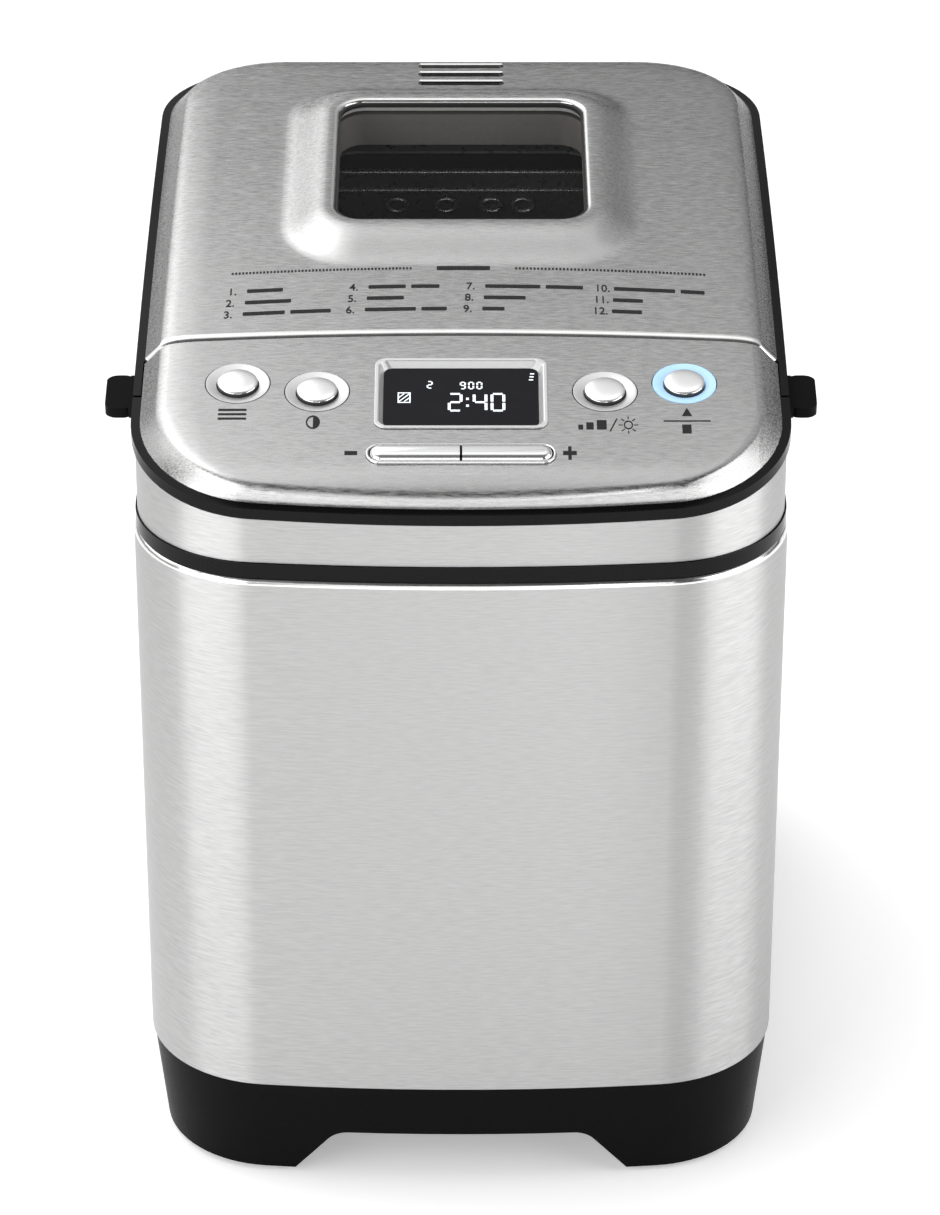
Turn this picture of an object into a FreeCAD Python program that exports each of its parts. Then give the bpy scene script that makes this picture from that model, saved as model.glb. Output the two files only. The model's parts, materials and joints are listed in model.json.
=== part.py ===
import FreeCAD, Part
import math
import os
import re
import Sketcher
from FreeCAD import Placement, Rotation, Vector

# Bread machine with a vertical loaf pan. The origin is at the middle of the footprint on the floor,
# the front faces -Y, +X is to the right and +Z is up. Lengths are millimetres, angles degrees.
SIZES = {
    # plan form, crowned top and how far cutting tools run past what they cut
    "body_width": 215, "body_depth": 288, "body_height": 302, "corner_radius": 44, "front_radius": 700,
    "crown_radius": 1150, "apex_setback": 6, "tool_margin": 10, "overrun": 1,
    # fits between pieces
    "seat_clearance": 0.2, "fit_clearance": 0.1, "wrap_clearance": 0.3, "press_clearance": 0.3,
    "run_clearance": 0.04, "pin_fit": 0.05, "lid_gap": 0.4, "rim_gap": 0.2,
    # base and feet
    "base_gap": 2, "base_height": 39, "base_low_inset": 4.5, "base_top_inset": 0.5, "base_wall": 2.6,
    "floor_low": 19, "floor_thickness": 2.5, "tongue_height": 7, "arch_low_width": 116,
    "arch_top_width": 86, "arch_top": 18.6, "arch_round": 9, "foot_side": 29.5,
    "foot_front_setback": 36, "foot_rear_setback": 33, "post_radius": 12, "pad_radius": 10,
    "pad_recess": 3.6, "pad_chamfer": 1, "column_side": 47.5, "column_front_setback": 28,
    "column_rear_setback": 24, "column_radius": 6, "screw_radius": 1.9, "screw_head_radius": 4,
    "screw_head": 3, "screw_tail": 2, "vent_length": 44, "vent_width": 4, "vent_pitch": 9,
    "base_vents": 5,
    # stainless wrap and rim band
    "wrap_sheet": 0.8, "wrap_drop": 67, "wrap_lip": 4, "wrap_round": 2.4, "rear_vent_length": 34,
    "rear_vent_x": 26, "rear_vent_low": 76, "rear_vents": 7, "band_height": 5.2, "band_inset": 0.6,
    "rim_inset": 1.2,
    # black upper frame
    "frame_inset": 2.3, "frame_wall": 3, "frame_depth": 9, "frame_ring": 7, "plate_inset": 3,
    "plate_drop": 7.4, "trim_height": 3.3, "deck_thickness": 3, "split_setback": 77.4, "split_gap": 1,
    "seam_setback": 59, "bulkhead_setback": 2.4, "arm_width": 2.6, "collar_wall": 3,
    # control panel and its carrier
    "plate_sheet": 1, "shoulder_width": 7.5, "shoulder_drop": 3.8, "panel_setback": 45,
    "carrier_inset": 12, "carrier_thickness": 2, "carrier_gap": 1, "post_small": 2.5, "post_side": 37.5,
    "post_y": -16, "post_inner_gap": 5.8, "post_inner_y": 17,
    # round buttons
    "outer_button_side": 34.7, "outer_button_setback": 55.1, "inner_button_gap": 21.6,
    "inner_button_setback": 50.9, "ring_radius": 10.4, "ring_flange_radius": 12, "ring_flange": 1.2,
    "ring_bore": 7, "ring_seat": 0.2, "ring_proud": 0.1, "ring_lip": 0.6, "dish_depth": 0.5,
    "cap_radius": 6.7, "cap_proud": 1.5, "cap_dome": 0.7, "cap_edge": 1.2, "cap_crown": 0.2,
    "cap_flange_radius": 8.2, "cap_flange": 1.2, "stem_radius": 2.5, "stem_end": 9.5,
    # display and pill
    "display_setback": 49.8, "display_side": 82.3, "display_half_y": 15.5, "display_round": 3,
    "bezel_width": 3, "bezel_throat": 2.2, "bezel_flare": 1.6, "bezel_proud": 0.5, "bezel_round": 4,
    "bezel_seat": 0.02, "bezel_tongue": 3,
    "lens_recess": 2.2, "lens_thickness": 2.4, "lcd_margin": 1.5, "lcd_round": 1, "lcd_gap": 0.4,
    "pill_setback": 19.4, "pill_overhang": 4.2, "pill_half_y": 3.8, "pill_round": 3.4, "pill_rim": 1.1,
    "pill_gap": 0.8, "pill_depth": 4, "pill_proud": 0.8, "pill_foot": 1.3, "pill_foot_inset": 1,
    # control board
    "board_drop": 16, "board_thickness": 1.6, "board_side": 25.5, "board_front": -33, "board_rear": 21,
    "board_round": 3, "switch_size": 6, "switch_height": 4.7, "switch_round": 0.5,
    # lid cover and window
    "boss_offset": 0.5, "boss_side": 28, "boss_end": 18.5, "boss_round": 24, "boss_rise": 4.7,
    "boss_sink": 2.4, "boss_clear": 3, "boss_top_half": 45.4, "boss_top_round": 11, "window_half": 43,
    "window_round": 9, "glass_thickness": 3, "glass_half": 45.7, "glass_round": 11, "glass_rim": 1,
    "glass_top": 2.2, "gasket_half": 0.6, "tunnel_depth": 13, "slot_length": 31, "slot_width": 2.8,
    "slot_pitch": 7.8, "slot_setback": 16.2, "slots": 3, "insert_margin": 2, "insert_round": 2,
    "insert_depth": 6.6, "insert_step": 0.3,
    # lid frame, tabs and liner
    "opening_side": 12, "opening_front_gap": 7, "opening_rear_gap": 21, "opening_round": 24,
    "tab_setback": 69.5, "tab_length": 24, "tab_proud": 9.5, "tab_drop": 12, "tab_thickness": 3.8,
    "tab_plate": 1.6, "tab_plate_height": 12, "tab_round": 4, "liner_dish": 6, "liner_sheet": 1,
    "liner_margin": 2, "dish_margin": 10, "lid_screw_side": 6.5, "lid_screw_front_gap": 22,
    "lid_screw_rear_gap": 24, "lid_screw_head": 2, "lid_screw_radius": 1.5,
    "lid_screw_head_radius": 3.2, "lid_screw_depth": 4, "lid_screw_seat": 0.6,
    # hinge
    "hinge_setback": 3.2, "hinge_drop": 14.4, "hinge_radius": 3, "pin_radius": 1.5, "hinge_side": 53.5,
    "knuckle_length": 12, "lug_length": 6, "lug_gap": 0.4, "relief_side": 23.5, "relief_setback": 9,
    "relief_depth": 4.7, "lug_root": 2,
    # baking chamber, element and sensor
    "chamber_front_gap": 27.6, "chamber_side_gap": 19.5, "chamber_back_gap": 19, "chamber_round": 30,
    "chamber_floor": 63, "chamber_rim_drop": 40, "liner_flange": 6, "floor_round": 4, "chassis_z": 50,
    "chassis_sheet": 2, "chassis_inset": 9, "spacer_radius": 4, "spacer_side": 28, "spacer_end": 21,
    "element_radius": 3.25, "element_z": 75, "element_side": 10, "element_end": 11, "element_bend": 26,
    "element_leg_x": 16, "element_leg_bend": 8, "element_tail": 14, "clip_width": 9,
    "clip_thickness": 3, "sensor_z": 150, "sensor_radius": 3, "sensor_length": 22, "sensor_tail": 13,
    "sensor_x": -40,
    # pan socket
    "socket_inner": 48, "socket_wall": 3, "socket_height": 13, "socket_flange": 1.5, "socket_hole": 30,
    "hook_height": 3.5, "hook_gap": 0.6, "hook_angle": 14, "hook_turn": 30, "hooks": 3,
    # bread pan
    "pan_low_z": 84, "pan_drop": 76, "pan_draft": 4, "pan_side_gap": 20, "pan_end_gap": 18,
    "pan_round": 24, "pan_wall": 1.6, "pan_floor": 2, "pan_rim": 5, "pan_rim_height": 1.5,
    "pan_bevel": 6, "pan_collar_radius": 43, "pan_collar_wall": 3, "pan_collar_low": 66,
    "lug_reach": 4.4, "lug_height": 4.3, "lug_drop": 0.7, "bush_radius": 9, "bush_low": 79,
    "bush_flange_radius": 13, "bush_flange": 3, "seal_radius": 7, "seal_height": 3, "seal_lip": 1,
    "ear_width": 18, "ear_thickness": 1.5, "ear_height": 22, "ear_rise": 10, "ear_pivot": 5,
    "rivet_radius": 2, "rivet_head": 1.2, "rivet_drop": 6, "bail_radius": 2.5, "bail_bend": 22,
    "bail_elbow": 2.9, "bail_gap": 1, "bail_tail": 1, "bail_end_gap": 16,
    # paddle
    "paddle_shaft_radius": 4, "paddle_shaft_top": 118, "wing_low": 70, "wing_height": 7,
    "wing_length": 26, "wing_width": 6, "wing_hub": 7, "hub_radius": 8, "hub_height": 23,
    "hub_gap": 0.5, "blade_gap": 12, "blade_thickness": 5, "blade_height": 24, "blade_low": 88,
    "blade_root": 2, "blade_step": 1, "blade_rake": 8,
    # spindle, pulleys and belt
    "spindle_radius": 5, "spindle_low": 24, "bearing_radius": 12, "bearing_low": 42, "bearing_top": 66,
    "bearing_flange_radius": 20, "bearing_flange": 3, "bearing_gap": 1, "dog_radius": 16, "dog_disc": 3,
    "dog_gap": 0.3, "dog_post": 6, "dog_post_at": 11, "dog_post_height": 6.5, "pulley_low": 28,
    "pulley_height": 12, "pulley_groove": 44, "pulley_flange": 3, "pulley_lip": 1.5, "pulley_hub": 12,
    "pulley_step": 1, "pulley_holes": 6, "pulley_hole": 9, "pulley_hole_at": 27, "belt_thickness": 1.6,
    "belt_clearance": 0.15, "belt_width": 8,
    # motor and electrics
    "motor_setback": 48, "motor_radius": 38, "motor_height": 58, "motor_bevel": 8,
    "motor_flange_radius": 43, "motor_flange": 3, "motor_slots": 8, "motor_slot": 6,
    "motor_vent_length": 32, "motor_vent_low": 12, "motor_boss": 12, "motor_shaft_radius": 4,
    "shaft_tail": 2, "motor_pulley_groove": 9.5, "motor_pulley_hub": 7.5, "fan_radius": 30,
    "fan_hub": 9, "fan_blades": 8, "fan_blade": 1.5, "fan_height": 9, "fan_gap": 3,
    "capacitor_radius": 14, "capacitor_height": 46, "capacitor_side": 33.5, "capacitor_setback": 68,
    "capacitor_boss": 5, "capacitor_cap": 4, "power_side": 37.5, "power_setback": 22,
    "power_length": 58, "power_height": 66, "power_thickness": 1.6, "transformer": 30,
    "transformer_depth": 14, "transformer_low": 24, "transformer_front": 4, "gland_x": 50,
    "gland_z": 30, "gland_radius": 6, "gland_bore": 3.75, "gland_flange_radius": 8, "gland_flange": 2.4,
    "gland_length": 14,
}

# Places that follow the plan form, the crown and the chamber.
DERIVED = {
    "crown_apex": "body_depth/2 - apex_setback", "wrap_top": "body_height - wrap_drop",
    "split_y": "split_setback - body_depth/2", "seam_y": "seam_setback - body_depth/2",
    "panel_y": "panel_setback - body_depth/2", "outer_button_y": "outer_button_setback - body_depth/2",
    "inner_button_y": "inner_button_setback - body_depth/2", "display_y": "display_setback - body_depth/2",
    "pill_y": "pill_setback - body_depth/2", "tab_y": "tab_setback - body_depth/2",
    "outer_button_x": "body_width/2 - outer_button_side",
    "inner_button_x": "display_half_x + inner_button_gap",
    "display_half_x": "body_width/2 - display_side", "pill_half_x": "display_half_x + pill_overhang",
    "post_inner_x": "display_half_x + post_inner_gap",
    "board_half_x": "body_width/2 - board_side", "post_x": "body_width/2 - post_side",
    "foot_x": "body_width/2 - foot_side", "foot_front": "foot_front_setback - body_depth/2",
    "foot_rear": "body_depth/2 - foot_rear_setback", "column_x": "body_width/2 - column_side",
    "column_front": "column_front_setback - body_depth/2",
    "column_rear": "body_depth/2 - column_rear_setback",
    "hinge_x": "body_width/2 - hinge_side", "hinge_y": "body_depth/2 - hinge_setback",
    "hinge_z": "body_height - hinge_drop", "relief_half_x": "body_width/2 - relief_side",
    "relief_y": "body_depth/2 - relief_setback", "slot_rear": "body_depth/2 - slot_setback",
    "chamber_front": "split_y + chamber_front_gap", "chamber_back": "body_depth/2 - chamber_back_gap",
    "chamber_y": "(chamber_front + chamber_back)/2", "chamber_half_y": "(chamber_back - chamber_front)/2",
    "chamber_half_x": "body_width/2 - chamber_side_gap", "chamber_rim": "body_height - chamber_rim_drop",
    "opening_half_x": "chamber_half_x - opening_side", "opening_front": "chamber_front + opening_front_gap",
    "opening_rear": "chamber_back - opening_rear_gap", "lid_screw_x": "chamber_half_x - lid_screw_side",
    "lid_screw_front": "chamber_front + lid_screw_front_gap",
    "lid_screw_rear": "chamber_back - lid_screw_rear_gap", "boss_y": "chamber_y - boss_offset",
    "boss_half_x": "chamber_half_x - boss_side", "boss_half_y": "chamber_half_y - boss_end",
    "spacer_x": "chamber_half_x - spacer_side", "spacer_front": "chamber_front + spacer_end",
    "spacer_rear": "chamber_back - spacer_end", "element_half_x": "chamber_half_x - element_side",
    "element_half_y": "chamber_half_y - element_end", "pan_top_x": "chamber_half_x - pan_side_gap",
    "pan_top_y": "chamber_half_y - pan_end_gap", "pan_low_x": "pan_top_x - pan_draft",
    "pan_low_y": "pan_top_y - pan_draft", "pan_top_z": "body_height - pan_drop",
    "bail_reach": "chamber_half_y - bail_end_gap", "blade_reach": "pan_low_y - blade_gap",
    "motor_y": "motor_setback - body_depth/2", "capacitor_x": "capacitor_side - body_width/2",
    "capacitor_y": "capacitor_setback - body_depth/2", "power_x": "body_width/2 - power_side",
    "power_front": "power_setback - body_depth/2",
}
# How close an edge has to be to a height or plane to lie on it.
NEAR = 0.05

doc = FreeCAD.newDocument("bread_machine")
sheet = doc.addObject("Spreadsheet::Sheet", "Sizes")
cells = [(name, str(value)) for name, value in SIZES.items()]
cells += [(name, "=" + formula) for name, formula in DERIVED.items()]
for row, (size_name, content) in enumerate(cells, start=1):
    sheet.set(f"A{row}", size_name)
    sheet.set(f"B{row}", content)
    sheet.setAlias(f"B{row}", size_name)
doc.recompute()
pieces = {}


def sized(text):
    """The expression with each size name read from the sheet."""
    known = {**SIZES, **DERIVED}
    return re.sub(r"[a-z]\w*", lambda word: f"Sizes.{word[0]}" if word[0] in known else word[0], str(text))


def number(text):
    """What an expression on the sheet comes to."""
    result = sheet.evalExpression(sized(text))
    return float(getattr(result, "Value", result))


def bind(item, **expressions):
    """Tie properties to the sheet; a double underscore in a name stands for a dot."""
    for name, text in expressions.items():
        item.setExpression(name.replace("__", "."), sized(text))
    return item


def move(item, x="0", y="0", z="0"):
    return bind(item, Placement__Base__x=x, Placement__Base__y=y, Placement__Base__z=z)


def crown(y, drop="0"):
    """Height of the crowned top at y, lowered by drop."""
    return f"(body_height - crown_radius + sqrt(crown_radius^2 - ({y} - crown_apex)^2) - ({drop}))"


def slope(y):
    """Tilt of the crowned top at y."""
    return f"asin((crown_apex - ({y})) / crown_radius)"


def seat_on_crown(item, x, y, tilt_y):
    """Stand an item on the crowned top at x, y, square to the top's slope at tilt_y."""
    item.Placement = Placement(Vector(), Rotation(Vector(1, 0, 0), number(slope(tilt_y))))
    bind(item, Placement__Rotation__Angle=slope(tilt_y))
    return move(item, x, y, crown(y))


def piece(name, item):
    item.Label = name
    pieces[name] = item
    return item


def hold(sketch, kind, element, point, text):
    """Distance or radius of a sketch element, tied to the sheet."""
    if kind == "Radius":
        index = sketch.addConstraint(Sketcher.Constraint(kind, element, number(text)))
    elif number(text) == 0 and text == "0":
        axis = -2 if kind == "DistanceX" else -1
        sketch.addConstraint(Sketcher.Constraint("PointOnObject", element, point, axis))
        return
    else:
        index = sketch.addConstraint(Sketcher.Constraint(kind, -1, 1, element, point, number(text)))
    sketch.setExpression(f"Constraints[{index}]", sized(text))


def arc(x, y, radius, start, end):
    return Part.ArcOfCircle(Part.Circle(Vector(x, y, 0), Vector(0, 0, 1), radius), start, end)


def line(start, end):
    return Part.LineSegment(Vector(*start, 0), Vector(*end, 0))


def add_loop(sketch, elements, joint="Tangent"):
    """Closed chain of elements, each end joined to the next start; gives the first element's number."""
    first = sketch.GeometryCount
    for element in elements:
        sketch.addGeometry(element, False)
    for step in range(len(elements)):
        following = first + (step + 1) % len(elements)
        sketch.addConstraint(Sketcher.Constraint(joint, first + step, 2, following, 1))
    return first


def outline(inset):
    """Plan form of the machine drawn in by inset: bowed front, straight sides and back, round corners."""
    def draw(sketch):
        corner_x = number("body_width/2 - corner_radius")
        front_y = number("front_radius - body_depth/2")
        low_y = front_y - math.sqrt(number("front_radius - corner_radius")**2 - corner_x**2)
        high_y = number("body_depth/2 - corner_radius")
        radius = number(f"corner_radius - ({inset})")
        side = corner_x + radius
        lean = math.atan2(low_y - front_y, corner_x)
        elements = [
            arc(0, front_y, number(f"front_radius - ({inset})"), -math.pi - lean, lean),
            arc(corner_x, low_y, radius, lean, 0),
            line((side, low_y), (side, high_y)),
            arc(corner_x, high_y, radius, 0, math.pi / 2),
            line((corner_x, high_y + radius), (-corner_x, high_y + radius)),
            arc(-corner_x, high_y, radius, math.pi / 2, math.pi),
            line((-side, high_y), (-side, low_y)),
            arc(-corner_x, low_y, radius, math.pi, math.pi - lean),
        ]
        front = add_loop(sketch, elements)
        hold(sketch, "DistanceX", front, 3, "0")
        hold(sketch, "DistanceY", front, 3, "front_radius - body_depth/2")
        hold(sketch, "Radius", front, 0, f"front_radius - ({inset})")
        for corner in (front + 1, front + 3, front + 5, front + 7):
            hold(sketch, "Radius", corner, 0, f"corner_radius - ({inset})")
        for element, direction in ((front + 2, "Vertical"), (front + 4, "Horizontal"),
                                   (front + 6, "Vertical")):
            sketch.addConstraint(Sketcher.Constraint(direction, element))
        hold(sketch, "DistanceX", front + 2, 1, f"body_width/2 - ({inset})")
        hold(sketch, "DistanceX", front + 6, 1, f"({inset}) - body_width/2")
        hold(sketch, "DistanceY", front + 4, 1, f"body_depth/2 - ({inset})")
    return draw


def rectangle(half_x, half_y, radius, x="0", y="0"):
    """Rounded rectangle about x, y."""
    def draw(sketch):
        left, right = number(f"{x} - ({half_x})"), number(f"{x} + {half_x}")
        low, high = number(f"{y} - ({half_y})"), number(f"{y} + {half_y}")
        bend = number(radius)
        elements = [
            line((left + bend, low), (right - bend, low)),
            arc(right - bend, low + bend, bend, -math.pi / 2, 0),
            line((right, low + bend), (right, high - bend)),
            arc(right - bend, high - bend, bend, 0, math.pi / 2),
            line((right - bend, high), (left + bend, high)),
            arc(left + bend, high - bend, bend, math.pi / 2, math.pi),
            line((left, high - bend), (left, low + bend)),
            arc(left + bend, low + bend, bend, math.pi, 3 * math.pi / 2),
        ]
        bottom = add_loop(sketch, elements)
        for step, direction in enumerate(("Horizontal", "Vertical", "Horizontal", "Vertical")):
            sketch.addConstraint(Sketcher.Constraint(direction, bottom + 2 * step))
            hold(sketch, "Radius", bottom + 2 * step + 1, 0, radius)
        hold(sketch, "DistanceY", bottom, 1, f"{y} - ({half_y})")
        hold(sketch, "DistanceX", bottom + 2, 1, f"{x} + {half_x}")
        hold(sketch, "DistanceY", bottom + 4, 1, f"{y} + {half_y}")
        hold(sketch, "DistanceX", bottom + 6, 1, f"{x} - ({half_x})")
    return draw


def disc(radius, x="0", y="0"):
    """Circle about x, y."""
    def draw(sketch):
        middle = Vector(number(x), number(y), 0)
        sketch.addGeometry(Part.Circle(middle, Vector(0, 0, 1), number(radius)), False)
        hold(sketch, "Radius", 0, 0, radius)
        hold(sketch, "DistanceX", 0, 3, x)
        hold(sketch, "DistanceY", 0, 3, y)
    return draw


def obround(length, width, x="0", y="0"):
    """Slot with round ends, its length along the sketch's first axis."""
    def draw(sketch):
        bend, reach = number(f"({width})/2"), number(f"(({length}) - ({width}))/2")
        centre_x, centre_y = number(x), number(y)
        elements = [
            line((centre_x - reach, centre_y - bend), (centre_x + reach, centre_y - bend)),
            arc(centre_x + reach, centre_y, bend, -math.pi / 2, math.pi / 2),
            line((centre_x + reach, centre_y + bend), (centre_x - reach, centre_y + bend)),
            arc(centre_x - reach, centre_y, bend, math.pi / 2, 3 * math.pi / 2),
        ]
        bottom = add_loop(sketch, elements)
        sketch.addConstraint(Sketcher.Constraint("Horizontal", bottom))
        for end, sign in ((bottom + 1, "+"), (bottom + 3, "-")):
            hold(sketch, "DistanceX", end, 3, f"{x} {sign} (({length}) - ({width}))/2")
        hold(sketch, "DistanceY", bottom + 1, 3, y)
        hold(sketch, "Radius", bottom + 1, 0, f"({width})/2")
    return draw


def polygon(*corners):
    """Straight-sided outline through corners given as expressions."""
    def draw(sketch):
        points = [(number(x), number(y)) for x, y in corners]
        edges = [line(point, points[(step + 1) % len(points)]) for step, point in enumerate(points)]
        first = add_loop(sketch, edges, "Coincident")
        for step, (x, y) in enumerate(corners):
            hold(sketch, "DistanceX", first + step, 1, x)
            hold(sketch, "DistanceY", first + step, 1, y)
    return draw


def belt_line(radius_a, y_a, radius_b, y_b):
    """Outline of a belt round two wheels on the Y axis, the wheel at y_a in front."""
    def draw(sketch):
        front, rear, low, high = number(radius_a), number(radius_b), number(y_a), number(y_b)
        lean = math.asin((rear - front) / (high - low))
        side = Vector(math.cos(lean), -math.sin(lean), 0)
        elements = [
            arc(0, low, front, math.pi + lean, 2 * math.pi - lean),
            line((front * side.x, low + front * side.y), (rear * side.x, high + rear * side.y)),
            arc(0, high, rear, -lean, math.pi + lean),
            line((-rear * side.x, high + rear * side.y), (-front * side.x, low + front * side.y)),
        ]
        first = add_loop(sketch, elements)
        for element, radius, y in ((first, radius_a, y_a), (first + 2, radius_b, y_b)):
            hold(sketch, "Radius", element, 0, radius)
            hold(sketch, "DistanceX", element, 3, "0")
            hold(sketch, "DistanceY", element, 3, y)
    return draw


def sketch_on(owner, plane, offset):
    sketch = owner.newObject("Sketcher::SketchObject", owner.Name + "_sketch")
    support = next(item for item in owner.Origin.OriginFeatures if item.Role == plane)
    sketch.AttachmentSupport = [(support, "")]
    sketch.MapMode = "FlatFace"
    return bind(sketch, AttachmentOffset__Base__z=offset)


def new_body(name):
    return doc.addObject("PartDesign::Body", name)


def prism(name, draw, low, high, plane="XY_Plane"):
    """Body padded square to its plane from low to high."""
    owner = new_body(name)
    sketch = sketch_on(owner, plane, low)
    draw(sketch)
    pad = owner.newObject("PartDesign::Pad", name + "_pad")
    pad.Profile = sketch
    bind(pad, Length=f"({high}) - ({low})")
    return owner


def loft(name, *outlines):
    """Body drawn through flat outlines, each given with its height."""
    owner = new_body(name)
    sections = []
    for draw, level in outlines:
        sections.append(sketch_on(owner, "XY_Plane", level))
        draw(sections[-1])
    skin = owner.newObject("PartDesign::AdditiveLoft", name + "_loft")
    skin.Profile = sections[0]
    skin.Sections = sections[1:]
    skin.Ruled = True
    return owner


def turned(name, *profile):
    """Body of revolution about its own Z axis, from (radius, height) corners."""
    owner = new_body(name)
    sketch = sketch_on(owner, "XZ_Plane", "0")
    polygon(*profile)(sketch)
    lathe = owner.newObject("PartDesign::Revolution", name + "_turn")
    lathe.Profile = sketch
    lathe.ReferenceAxis = (sketch, ["V_Axis"])
    lathe.Angle = 360
    return owner


def slab(name, top, bottom=None, floor="0"):
    """Block under the crowned top lowered by top, down to the crown lowered by bottom or to a floor."""
    owner = new_body(name)
    sketch = sketch_on(owner, "YZ_Plane", "0")
    reach = "body_depth/2 + tool_margin"
    apex, radius, end = number("crown_apex"), number("crown_radius"), number(reach)

    def crown_arc(drop):
        centre = number(f"body_height - crown_radius - ({drop})")
        start, finish = math.acos((end - apex) / radius), math.acos((-end - apex) / radius)
        return arc(apex, centre, radius, start, finish), centre

    upper, centre = crown_arc(top)
    left_z, right_z = (centre + math.sqrt(radius**2 - (y - apex)**2) for y in (-end, end))
    sketch.addGeometry(upper, False)
    depth = number(floor)
    drop = None if bottom is None else number(f"({bottom}) - ({top})")
    left_low, right_low = (depth, depth) if bottom is None else (left_z - drop, right_z - drop)
    sketch.addGeometry(line((-end, left_z), (-end, left_low)), False)
    lower = line((end, depth), (-end, depth)) if bottom is None else crown_arc(bottom)[0]
    sketch.addGeometry(lower, False)
    sketch.addGeometry(line((end, right_low), (end, right_z)), False)
    for pair in ((0, 2, 1, 1), (1, 2, 2, 2), (2, 1, 3, 1), (3, 2, 0, 1)):
        sketch.addConstraint(Sketcher.Constraint("Coincident", *pair))
    for element, drop_text in ((0, top), (2, bottom)):
        if drop_text is not None:
            hold(sketch, "Radius", element, 0, "crown_radius")
            hold(sketch, "DistanceX", element, 3, "crown_apex")
            hold(sketch, "DistanceY", element, 3, f"body_height - crown_radius - ({drop_text})")
    sketch.addConstraint(Sketcher.Constraint("Vertical", 1))
    sketch.addConstraint(Sketcher.Constraint("Vertical", 3))
    hold(sketch, "DistanceX", 1, 2, f"-({reach})")
    hold(sketch, "DistanceX", 3, 1, reach)
    if bottom is None:
        sketch.addConstraint(Sketcher.Constraint("Horizontal", 2))
        hold(sketch, "DistanceY", 2, 1, floor)
    pad = owner.newObject("PartDesign::Pad", name + "_pad")
    pad.Profile = sketch
    pad.SideType = "Symmetric"
    bind(pad, Length="body_width + 2*tool_margin")
    return owner


def cylinder(name, radius, height, x="0", y="0", z="0", along=None):
    """Round bar standing at x, y, z, or lying along X or Y from there."""
    bar = doc.addObject("Part::Cylinder", name)
    turns = {"X": Rotation(Vector(0, 1, 0), 90), "Y": Rotation(Vector(1, 0, 0), -90)}
    if along:
        bar.Placement = Placement(Vector(), turns[along])
    bind(bar, Radius=radius, Height=height)
    return move(bar, x, y, z)


def box(name, low, high):
    """Block between two corners."""
    block = doc.addObject("Part::Box", name)
    sides = [f"({end}) - ({start})" for start, end in zip(low, high)]
    bind(block, Length=sides[0], Width=sides[1], Height=sides[2])
    return move(block, *low)


def cut(name, base, *tools):
    result = doc.addObject("Part::Cut", name)
    result.Base = base
    result.Tool = tools[0] if len(tools) == 1 else group(name + "_tools", *tools)
    return result


def fuse(name, *parts):
    result = doc.addObject("Part::MultiFuse", name)
    result.Shapes = list(parts)
    result.Refine = True
    return result


def common(name, *parts):
    result = doc.addObject("Part::MultiCommon", name)
    result.Shapes = list(parts)
    return result


def group(name, *parts):
    result = doc.addObject("Part::Compound", name)
    result.Links = list(parts)
    return result


def eased(name, base, kind, sizes, wanted):
    """Fillet or chamfer of every edge of base that wanted picks; sizes are one or two expressions."""
    doc.recompute()
    result = doc.addObject(f"Part::{kind}", name)
    result.Base = base
    first, second = number(sizes[0]), number(sizes[-1])
    chosen = [place for place, edge in enumerate(base.Shape.Edges, start=1) if wanted(edge)]
    result.Edges = [(place, first, second) for place in chosen]
    return result


def ring(name, outer, inner, low, high):
    """Wall between two insets of the plan form."""
    return cut(name, prism(name + "_outer", outline(outer), low, high),
               prism(name + "_inner", outline(inner), f"{low} - overrun", f"{high} + overrun"))


def tube(name, points, radius, bends):
    """Round bar along straight runs joined by tangent arcs, one bend radius to each corner."""
    path = [Vector(*(number(value) for value in point)) for point in points]
    edges, start = [], path[0]
    for before, corner, after, bend in zip(path, path[1:], path[2:], bends):
        turn = number(bend)
        inward, onward = (before - corner).normalize(), (after - corner).normalize()
        half = inward.getAngle(onward) / 2
        reach = turn / math.tan(half)
        middle = corner + (inward + onward).normalize() * (turn / math.sin(half) - turn)
        edges.append(Part.LineSegment(start, corner + inward * reach).toShape())
        edges.append(Part.Arc(corner + inward * reach, middle, corner + onward * reach).toShape())
        start = corner + onward * reach
    edges.append(Part.LineSegment(start, path[-1]).toShape())
    section = Part.Wire(Part.Circle(path[0], path[1] - path[0], number(radius)).toShape())
    bar = doc.addObject("Part::Feature", name)
    bar.Shape = Part.Wire(edges).makePipeShell([section], True, False)
    return bar


sides = (("left", "-"), ("right", ""))
feet = [(x, y) for x in ("-foot_x", "foot_x") for y in ("foot_front", "foot_rear")]
columns = [(x, y) for x in ("-column_x", "column_x") for y in ("column_front", "column_rear")]
floor_top = "(floor_low + floor_thickness)"
chassis_top = "(chassis_z + chassis_sheet)"

# Base tray: tapered skirt with a floor, arched at front and back, posts for the feet and columns that
# carry the chassis plate.
base_skirt = loft("base_skirt", (outline("base_low_inset"), "base_gap"),
                  (outline("base_top_inset"), "base_height"))
base_tongue = prism("base_tongue", outline("wrap_sheet + wrap_clearance"), "base_height",
                    "base_height + tongue_height")
base_shell = cut(
    "base_shell", fuse("base_form", base_skirt, base_tongue),
    prism("base_under", outline("base_low_inset + base_wall"), "base_gap - overrun", "floor_low"),
    loft("base_hollow", (outline("base_low_inset + base_wall"), floor_top),
         (outline("base_top_inset + base_wall"), "base_height")),
    prism("base_mouth", outline("base_top_inset + base_wall"), "base_height",
          "base_height + tongue_height + overrun"))
arch_block = prism("arch_block", polygon(
    ("-arch_low_width/2", "base_gap - overrun"), ("arch_low_width/2", "base_gap - overrun"),
    ("arch_top_width/2", "arch_top"), ("-arch_top_width/2", "arch_top")),
    "-body_depth/2 - tool_margin", "body_depth/2 + tool_margin", "XZ_Plane")
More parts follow.
